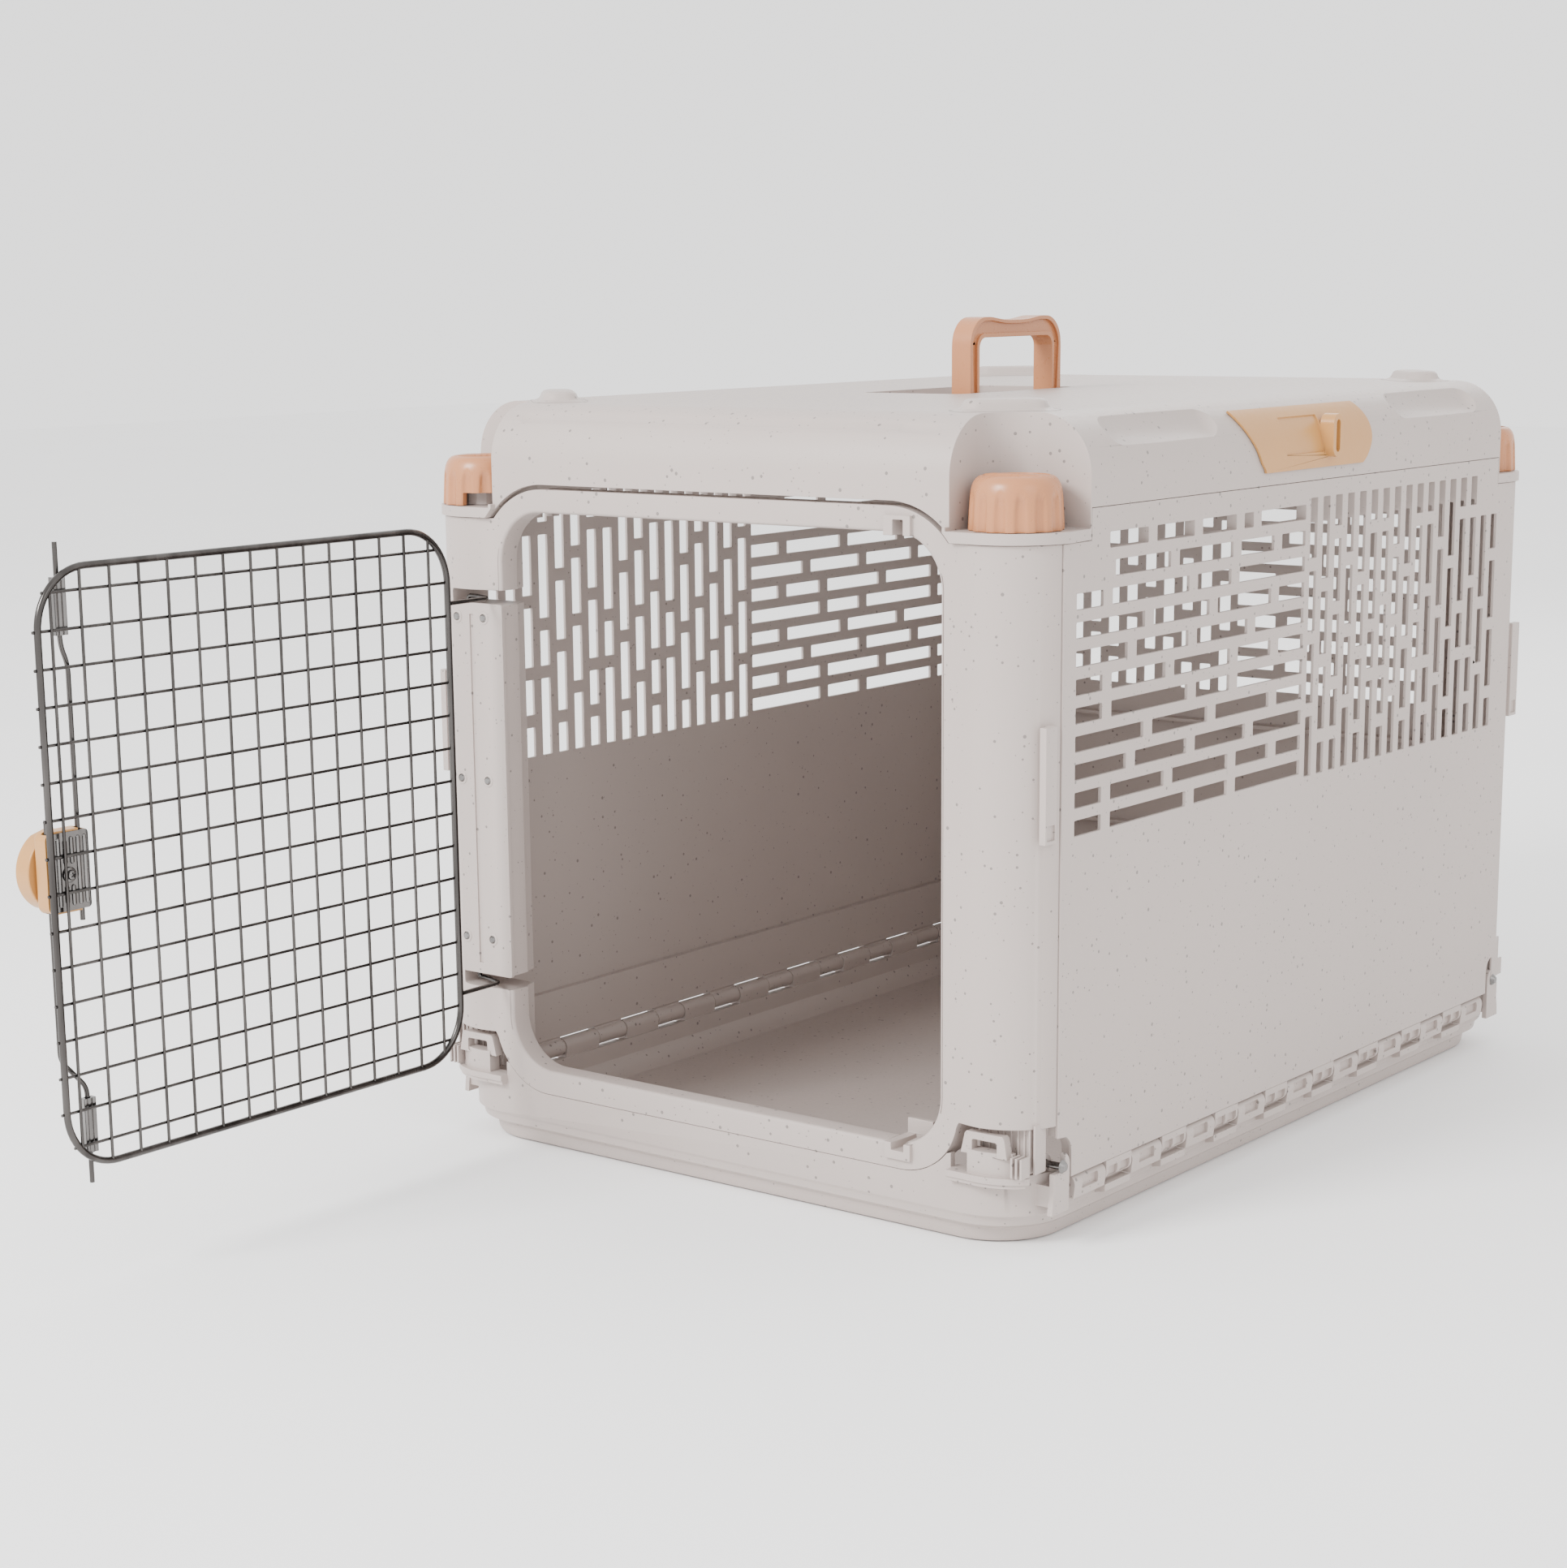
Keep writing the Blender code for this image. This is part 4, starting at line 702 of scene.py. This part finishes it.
def lid():
    shell = loft(lid_sections(0, LEDGE_LOW - 11), 16)
    cavity = loft(lid_sections(5.5, 550), 12)
    arch = [p for p in arc((185, 523.5), 78, 37.5, 90, 22) if p[1] > LEDGE_LOW + 2]
    arch = [(255.9, 530), (255.9, 560)] + arch
    below = plate("Y", arch + [(-x, z) for x, z in arch[::-1]], -500, 500)
    side_gap = box((-400, -370.9, 500), (400, 370.9, 596.2))
    recess = plate("Z", rounded(-98, 13.5, -97.5, 97.5, 9, 8), 641, 700)
    scoops = []
    deeper = []
    for side in (-1, 1):
        for low, high in ((-345, -150), (150, 345)):
            ends = ((side * 328.5, low + 30, 670.5), (side * 328.5, high - 30, 670.5))
            scoops.append(capsule(*ends, 30))
            deeper.append(capsule(*ends, 36))
    dimples = []
    for end in (-1, 1):
        for x in (-202, 202):
            dimples.append(capsule((x - 12, end * 441, 671), (x + 12, end * 441, 671), 19))
    ledge = plate("Z", corner_outline(3, NICHE[0] - 3, -371.8, -453), LEDGE_LOW - 8, LEDGE_HIGH + 3)
    foot = box((-400, -500, 500), (400, 500, LEDGE_LOW))
    keep = [corners(niche(5, LEDGE_LOW - 5, 700)), group(deeper),
            plate("Z", rounded(-104, 19.5, -103.5, 103.5, 13, 8), 635.5, 700)]
    cavity = cut(cavity, *keep)
    mesh = solve(shell, [
        ("DIFFERENCE", cavity), ("DIFFERENCE", side_gap), ("UNION", corners(ledge)), ("UNION", corners(boss())),
        ("DIFFERENCE", foot), ("DIFFERENCE", below),
        ("DIFFERENCE", corners(niche(0, LEDGE_HIGH, 700))),
        ("DIFFERENCE", group(scoops)), ("DIFFERENCE", group(dimples)), ("DIFFERENCE", recess),
        ("DIFFERENCE", corners(rod((KNOB_AT[0], -KNOB_AT[1], 560), (KNOB_AT[0], -KNOB_AT[1], 590), 13.5, 28)))])
    piece("lid_moulding", mesh, "lid", "stone_plastic", ["lid"], 0.4, 2, limit=32)


# ---------------------------------------------------------------- knobs
def knob_mesh(turn):
    """A cap with arch-topped flutes, a rolled shoulder and two finger hollows beside a grip bar."""
    low = LEDGE_HIGH + 0.5
    count = 168
    flutes = 14
    profile = [(37.3, 0), (37.6, 1.2), (37.2, 8), (36.8, 16), (36.3, 24), (35.9, 28), (35.5, 31), (34.8, 34),
               (33.6, 37), (31.8, 39.6), (29.4, 41.5), (26.5, 42.6), (23.5, 43), (19, 43), (14, 43), (9, 43), (4, 43)]
    rings = []
    for radius, height in profile:
        ring = []
        for i in range(count):
            angle = 2 * math.pi * i / count
            wave = abs(math.cos(flutes * angle / 2))
            near = max(0.0, (wave - 0.66) / 0.34)
            top = 29 - 7 * (1 - near) ** 2
            fade = min(1.0, max(0.0, (top - height) / 3.0))
            reach = radius - 2.3 * min(1.0, 1.6 * near) ** 0.6 * fade
            x = reach * math.cos(angle)
            y = reach * math.sin(angle)
            inside = min(1.0, max(0.0, (27.0 - math.hypot(x, y)) / 4.0))
            beside = min(1.0, max(0.0, (abs(y) - 4.5) / 4.0))
            dip = 6.5 * (inside * inside * (3 - 2 * inside)) * (beside * beside * (3 - 2 * beside))
            ring.append((x, y, low + height - (dip if height > 42 else 0)))
        rings.append(ring)
    cap = skin(rings)
    bore = rod((0, 0, low - 10), (0, 0, low + 33), 31.5, 48, 28.5)
    gap = [(60 * math.cos(math.radians(a)), 60 * math.sin(math.radians(a))) for a in range(45, 206, 10)]
    notch = plate("Z", [(0, 0), *gap], low - 10, low + 11)
    return moved(cut(cap, bore, notch), Matrix.Rotation(math.radians(turn), 4, "Z"))


def knobs():
    turns = {"front_right": 0, "rear_right": 90, "rear_left": 180, "front_left": 235}
    signs = {"front_right": (1, -1), "rear_right": (1, 1), "rear_left": (-1, 1), "front_left": (-1, -1)}
    for place, (sx, sy) in signs.items():
        spot = Matrix.Translation((sx * KNOB_AT[0], sy * KNOB_AT[1], 0))
        piece(f"knob_{place}", moved(knob_mesh(turns[place]), spot), f"knob_{place}", "peach_plastic",
              [f"lock_knob_{place}"], 0.0, sharp=50)


# ---------------------------------------------------------------- handle and slides
def handle():
    z = 655
    crown = [(y, 735.5 - 1.6 * math.cos(math.pi * (abs(y) / 46) ** 1.6)) for y in range(46, -47, -4)]
    outer = [(-76, z - 7), (76, z - 7), *arc((51, 712), 25, 0, 84, 14), *crown,
             *arc((-51, 712), 25, 96, 180, 14)]
    inner = rounded(-61, 61, z - 30, 718.5, 10, 10)
    channel = [(y * 0.952, 655 + (h - 655) * 0.957) for y, h in outer[2:]]
    inside = rounded(-64.6, 64.6, 600, 722.2, 12, 10)
    grooves = []
    for low, high in ((-12, -7.6), (7.6, 12)):
        band = plate("X", [(-70, 668), (70, 668), *channel], low, high)
        grooves.append(cut(band, plate("X", inside, -20, 20)))
    mesh = cut(plate("X", outer, -10.5, 10.5), plate("X", inner, -20, 20), *grooves,
               rod((0, -100, z), (0, 100, z), 3.4, 20))
    return mesh


def edge_sheet(side, offset, thick, low_z, top_angle, y_low, y_high):
    centre = (HALF_W - LID_EDGE, LID_TOP - LID_EDGE)
    loops = []
    for radius in (LID_EDGE + offset, LID_EDGE + offset + thick):
        loops.append([(centre[0] + radius, low_z)] + arc(centre, radius, 0, top_angle, 18))
    outline = [(side * x, z) for x, z in loops[1] + loops[0][::-1]]
    return plate("Y", outline, y_low, y_high)


def side_slide(name, side):
    sheet = edge_sheet(side, 0.5, 2.2, 607, 52, -140, 98)
    view = [(-94, 600), (64, 600), *arc((64, 637), 34, -62, 62, 20), (60, 690), (-144, 690), (-134, 662),
            (-128, 650), (-120, 638), (-111, 626), (-104, 616), (-98, 610)]
    low, high = sorted((side * 280, side * 360))
    body = common(sheet, plate("X", view, low, high))
    window = edge_sheet(side, 1.3, 6, 620.5, 38, -62, 6)
    tab = rounded(6, 24, 615.5, 653, 8.9, 12)
    ear = plate("X", tab, *sorted((side * 323.5, side * 337)))
    hollow = plate("X", rounded(11.5, 18.5, 620, 648, 3.4, 8), *sorted((side * 331, side * 345)))
    stem = box((min(side * 309, side * 327.5), -13, 614.5), (max(side * 309, side * 327.5), 7, 619.5))
    bolt = box((min(side * 310.5, side * 321.5), -28, 604), (max(side * 310.5, side * 321.5), 22, 622))
    mesh = solve(body, [("DIFFERENCE", window), ("UNION", ear), ("DIFFERENCE", hollow), ("UNION", stem),
                        ("UNION", bolt)])
    piece(f"slide_plate_{name}", mesh, f"slide_{name}", "ochre_plastic", [f"side_latch_{name}"], 0.3, 2,
          limit=40)


# ---------------------------------------------------------------- wire door
def door():
    plane = 32
    upright = plane + 1.2
    lying = plane - 1.0
    pitch = 29.07
    ring = [(x, plane, z) for x, z in rounded(*DOOR_X, *DOOR_Z, 48, 14)]
    piece("door_ring", moved(tube(ring, 2.9, 16, closed=True), OPEN_DOOR), "door", "wire_chrome",
          ["door_frame_wire"], sharp=60)
    wires = []
    for i in range(15):
        x = DOOR_X[1] - 12.5 - i * pitch
        short = corner_reach(x, DOOR_X, 48)
        wires.append(tube([(x, upright, DOOR_Z[0] + short), (x, upright, DOOR_Z[1] - short)], 1.3, 8))
    for i in range(16):
        z = DOOR_Z[0] + 18 + i * (DOOR_Z[1] - DOOR_Z[0] - 36) / 15
        short = corner_reach(z, DOOR_Z, 48)
        start = DOOR_X[0] + short - 1.0
        stub = DOOR_X[1] - short + 4.2
        wires.append(tube([(start, lying, z), (stub, lying, z)], 1.3, 8))
    piece("door_grid", moved(group(wires), OPEN_DOOR), "door", "wire_chrome", ["door_mesh"], sharp=60,
          weld=0.0001)
    low_arm = [(DOOR_X[0] - 2, plane + 1, 151.5), (8, plane, 151.5), (0, 8, 151.5), (0, 0, 151.5)]
    high_arm = [(x, y, 500.5) for x, y, _ in reversed(low_arm)]
    arms = bent(low_arm + high_arm, 6)
    piece("door_pivot_wire", moved(tube(arms, 2.0, 12), OPEN_DOOR), "door", "wire_chrome", ["door_hinge_wire"],
          sharp=60)


def corner_reach(value, span, radius):
    """How far the ring's rounded corner pulls a wire's end in."""
    near = min(value - span[0], span[1] - value)
    if near >= radius:
        return 0.0
    return radius - math.sqrt(radius ** 2 - (radius - near) ** 2)


def turned(centre, profile, count):
    """A body turned about Y from (radius, y) pairs."""
    x, z = centre
    angles = [2 * math.pi * i / count for i in range(count)]
    return skin([[(x + radius * math.cos(a), y, z + radius * math.sin(a)) for a in angles]
                 for radius, y in profile])


def latch_housing():
    """The ochre box that holds the pinion: rounded walls, rod slots and a rolled outer face."""
    x, z = LATCH
    rings = []
    for y, inset in ((14, 1.6), (14.5, 0.7), (15.4, 0.15), (16.4, 0), (28, 0)):
        rings.append([(u, y, v) for u, v in rounded(x - 21 + inset, x + 20.5 - inset, z - 30 + inset,
                                                    z + 35 - inset, 7 - inset, 12)])
    room = plate("Y", rounded(x - 19, x + 18.5, z - 28, z + 33, 2, 6), 17.2, 40)
    slots = group([box((rod_x - 3, 20.5, z - 45), (rod_x + 3, 40, z + 50)) for rod_x in (x - 15, x + 15)])
    return cut(skin(rings), room, slots, rod((x, 5, z), (x, 20, z), 5.6, 28))


def stamped_plate():
    """The sheet that closes the housing, with pressed ribs and a hole for the screw."""
    x, z = LATCH
    sheet = cut(plate("Y", rounded(x - 20.4, x + 14, z - 28.5, z + 33.5, 3, 8), 28.2, 29.2),
                rod((x, 20, z), (x, 40, z), 2.4, 20))
    ribs = []
    for rib_x, low, high in ((x - 16.5, z - 25, z + 30), (x - 10, z - 25, z + 30), (x - 3.5, z + 8, z + 30),
                             (x - 3.5, z - 25, z - 8), (x + 3, z + 8, z + 28), (x + 3, z - 23, z - 8),
                             (x + 9.5, z - 25, z + 30)):
        rings = []
        for half, inset, y in ((2.0, 0, 28.9), (1.9, 0.2, 29.6), (1.5, 0.6, 30.3), (0.8, 1.2, 30.6)):
            rings.append([(u, y, v) for u, v in rounded(rib_x - half, rib_x + half, low + inset, high - inset,
                                                        half * 0.98, 6)])
        ribs.append(skin(rings))
    return group([sheet, *ribs])


def wire_screw():
    """A pan-head cross screw on a domed washer."""
    x, z = LATCH
    head = turned(LATCH, ((4.0, 31.5), (4.05, 32.4), (3.8, 33.3), (3.2, 34.0), (2.2, 34.5), (1.0, 34.7)), 36)
    cross = [box((x - 2.3, 33.2, z - 0.45), (x + 2.3, 36, z + 0.45)),
             box((x - 0.45, 33.2, z - 2.3), (x + 0.45, 36, z + 2.3))]
    turn = Matrix.Translation((x, 0, z)) @ Matrix.Rotation(0.5, 4, "Y") @ Matrix.Translation((-x, 0, -z))
    head = cut(head, *[moved(bar, turn) for bar in cross])
    return group([head, rod((x, 18.5, z), (x, 31.6, z), 1.9, 20)])


def washer():
    x, z = LATCH
    disc = turned(LATCH, ((6.0, 29.8), (6.1, 30.2), (5.8, 30.8), (5.0, 31.2)), 40)
    return cut(disc, rod((x, 20, z), (x, 40, z), 2.3, 20))


def guide(low, high):
    """A folded strip round a rod: a flat tongue behind the wires and a fluted loop."""
    loop = [(ROD_LINE - 6, 21.4), (ROD_LINE - 5.4, 20.7), (ROD_LINE + 5.4, 20.7), (ROD_LINE + 6, 21.4),
            (ROD_LINE + 6, 26.6), (ROD_LINE + 5.2, 27.4), (ROD_LINE + 3.4, 27.5), (ROD_LINE + 2.2, 26.9),
            (ROD_LINE + 0.9, 27.5), (ROD_LINE - 0.9, 27.5), (ROD_LINE - 2.2, 26.9), (ROD_LINE - 3.4, 27.5),
            (ROD_LINE - 5.2, 27.4), (ROD_LINE - 6, 26.6)]
    body = plate("Z", loop, low, high)
    hole = rounded(ROD_LINE - 2.5, ROD_LINE + 2.5, 21.2, 26.2, 2.3, 8)
    return cut(body, plate("Z", hole, low - 5, high + 5))


def latch():
    """The ochre latch with its bolt rods, which run in one plane behind the wires."""
    x, z = LATCH
    plane = 23.5
    upper = [(ROD_LINE, 584.5), (ROD_LINE, 506), (x - 15, 490), (x - 15, 290)]
    lower = [(ROD_LINE, 77.6), (ROD_LINE, 156), (x + 15, 182), (x + 15, 373)]
    for name, turns in (("upper", upper), ("lower", lower)):
        path = bent([(u, plane, v) for u, v in turns], 7)
        piece(f"bolt_rod_{name}", moved(tube(path, 2.0, 12), OPEN_DOOR), f"rod_{name}", "wire_chrome",
              [f"latch_rod_{name}"], sharp=60)
    piece("ribbed_plate", moved(stamped_plate(), OPEN_DOOR), "door", "plated_steel", ["latch_back_plate"],
          0.2, 2)
    piece("latch_box", moved(latch_housing(), OPEN_DOOR), "door", "ochre_plastic", ["latch_housing"], 0.3, 2)
    piece("cross_screw", moved(wire_screw(), OPEN_DOOR), "grip", "plated_steel", ["latch_screw"], 0.12, 2)
    piece("domed_washer", moved(washer(), OPEN_DOOR), "grip", "plated_steel", ["latch_washer"], 0.12, 2)
    for name, low, high in (("upper", 513.5, 558), ("lower", 103, 147.5)):
        piece(f"guide_{name}", moved(guide(low, high), OPEN_DOOR), "door", "plated_steel",
              [f"rod_guide_{name}"], 0.25, 2, limit=30)
    grip = plate("Y", [(x - 8, z - 33), *arc((x - 8, z), 33, -60, 60, 28), (x - 8, z + 33),
                       *arc((x - 8, z), 14, 110, 250, 18)], -5, 11)
    grip = solve(grip, [("UNION", rod((x, 10, z), (x, 16.9, z), 5, 28)),
                        ("DIFFERENCE", plate("Y", [(x + 2, z - 22), *arc((x - 6, z), 24.5, -52, 52, 24),
                                                   (x + 2, z + 22)], -9, 6))])
    piece("turn_grip", moved(grip, OPEN_DOOR), "grip", "ochre_plastic", ["latch_grip"], 1.2, 3)


# ---------------------------------------------------------------- carried-over nodes
def dress_nodes():
    """Materials and softened edges for the CAD nodes that stay visible."""
    slots = {part["node"]: part["material_slot"] for part in frame["record"]["subparts"]}
    for name, thing in frame["nodes"].items():
        thing.data.materials.clear()
        thing.data.materials.append(SLOTS[slots[name]])
        edge = thing.modifiers.new("edge", "BEVEL")
        edge.width = 0.0004
        edge.segments = 2
        edge.limit_method = "ANGLE"
        edge.angle_limit = math.radians(35)
        edge.harden_normals = True


def screw_rings():
    """Raised rings round the six screws of the hinge cover."""
    front = -449.8
    rings = []
    for x in (-287.5, -255.5):
        for z in (482, 336, 190):
            profile = ((6.0, front + 1.0), (6.0, front - 0.1), (5.6, front - 0.6), (5.0, front - 0.8))
            ring = turned((x, z), profile, 36)
            rings.append(cut(ring, rod((x, front - 5, z), (x, front + 5, z), 3.7, 28)))
    piece("screw_rings", group(rings), "tray", "stone_plastic", (), 0.2, 2)


def build():
    dress_nodes()
    screw_rings()
    base_tray()
    side_panel("right", 1, 1)
    side_panel("left", -1, -1)
    front_panel()
    rear_panel()
    lid()
    knobs()
    piece("bail_handle", handle(), "handle", "peach_plastic", ["carry_handle"], 0.5, 3, limit=40)
    side_slide("right", 1)
    side_slide("left", -1)
    door()
    latch()


# ---------------------------------------------------------------- studio
def studio():
    floor_mesh = bpy.data.meshes.new("floor")
    reach = 12.0
    square = [(-reach, -reach, 0), (reach, -reach, 0), (reach, reach, 0), (-reach, reach, 0)]
    floor_mesh.from_pydata(square, [], [(0, 1, 2, 3)])
    floor = bpy.data.objects.new("floor", floor_mesh)
    floor.location.z = -0.0005
    SCENE.collection.objects.link(floor)
    paper = Nodes("pale_floor", 0.9)
    paper.set(paper.shader.inputs["Base Color"],
              paper.mix(paper.noise(2.0), (0.94, 0.94, 0.94, 1), (0.97, 0.97, 0.97, 1)))
    floor_mesh.materials.append(paper.material)
    world = bpy.data.worlds.new("studio")
    world.use_nodes = True
    world.node_tree.nodes["Background"].inputs["Color"].default_value = (1.0, 0.995, 0.99, 1)
    world.node_tree.nodes["Background"].inputs["Strength"].default_value = 1.9
    SCENE.world = world
    for name, place, size, power in (("key", (-0.9, -4.0, 2.9), 1.4, 250), ("fill", (3.8, -1.6, 2.6), 1.8, 24),
                                     ("back", (-1.0, 3.4, 2.6), 2.0, 30)):
        light = bpy.data.lights.new(name, "AREA")
        light.shape = "SQUARE"
        light.size = size
        light.energy = power
        lamp = bpy.data.objects.new(name, light)
        lamp.location = place
        lamp.rotation_euler = (Vector((0, -0.1, 0.3)) - Vector(place)).to_track_quat("-Z", "Y").to_euler()
        SCENE.collection.objects.link(lamp)


def camera():
    """The viewer stands ahead and to the right, a little above the lid."""
    turn, down, roll = (math.radians(v) for v in (38.5258, 12.1389, -0.6606))
    ahead = Vector((-math.sin(turn) * math.cos(down), math.cos(turn) * math.cos(down), -math.sin(down)))
    right = Vector((math.cos(turn), math.sin(turn), 0))
    up = right.cross(ahead)
    local_x = right * math.cos(roll) + up * math.sin(roll)
    local_y = up * math.cos(roll) - right * math.sin(roll)
    lens = bpy.data.cameras.new("camera")
    lens.sensor_fit = "HORIZONTAL"
    lens.sensor_width = 36
    lens.lens = 68.42
    lens.shift_x = 0.0227
    lens.shift_y = 0.0863
    lens.clip_start = 0.05
    eye = bpy.data.objects.new("camera", lens)
    basis = Matrix((local_x, local_y, -ahead)).transposed().to_4x4()
    eye.matrix_world = Matrix.Translation((1.5695, -2.3701, 0.7739)) @ basis
    SCENE.collection.objects.link(eye)
    SCENE.camera = eye


camera()
studio()
build()
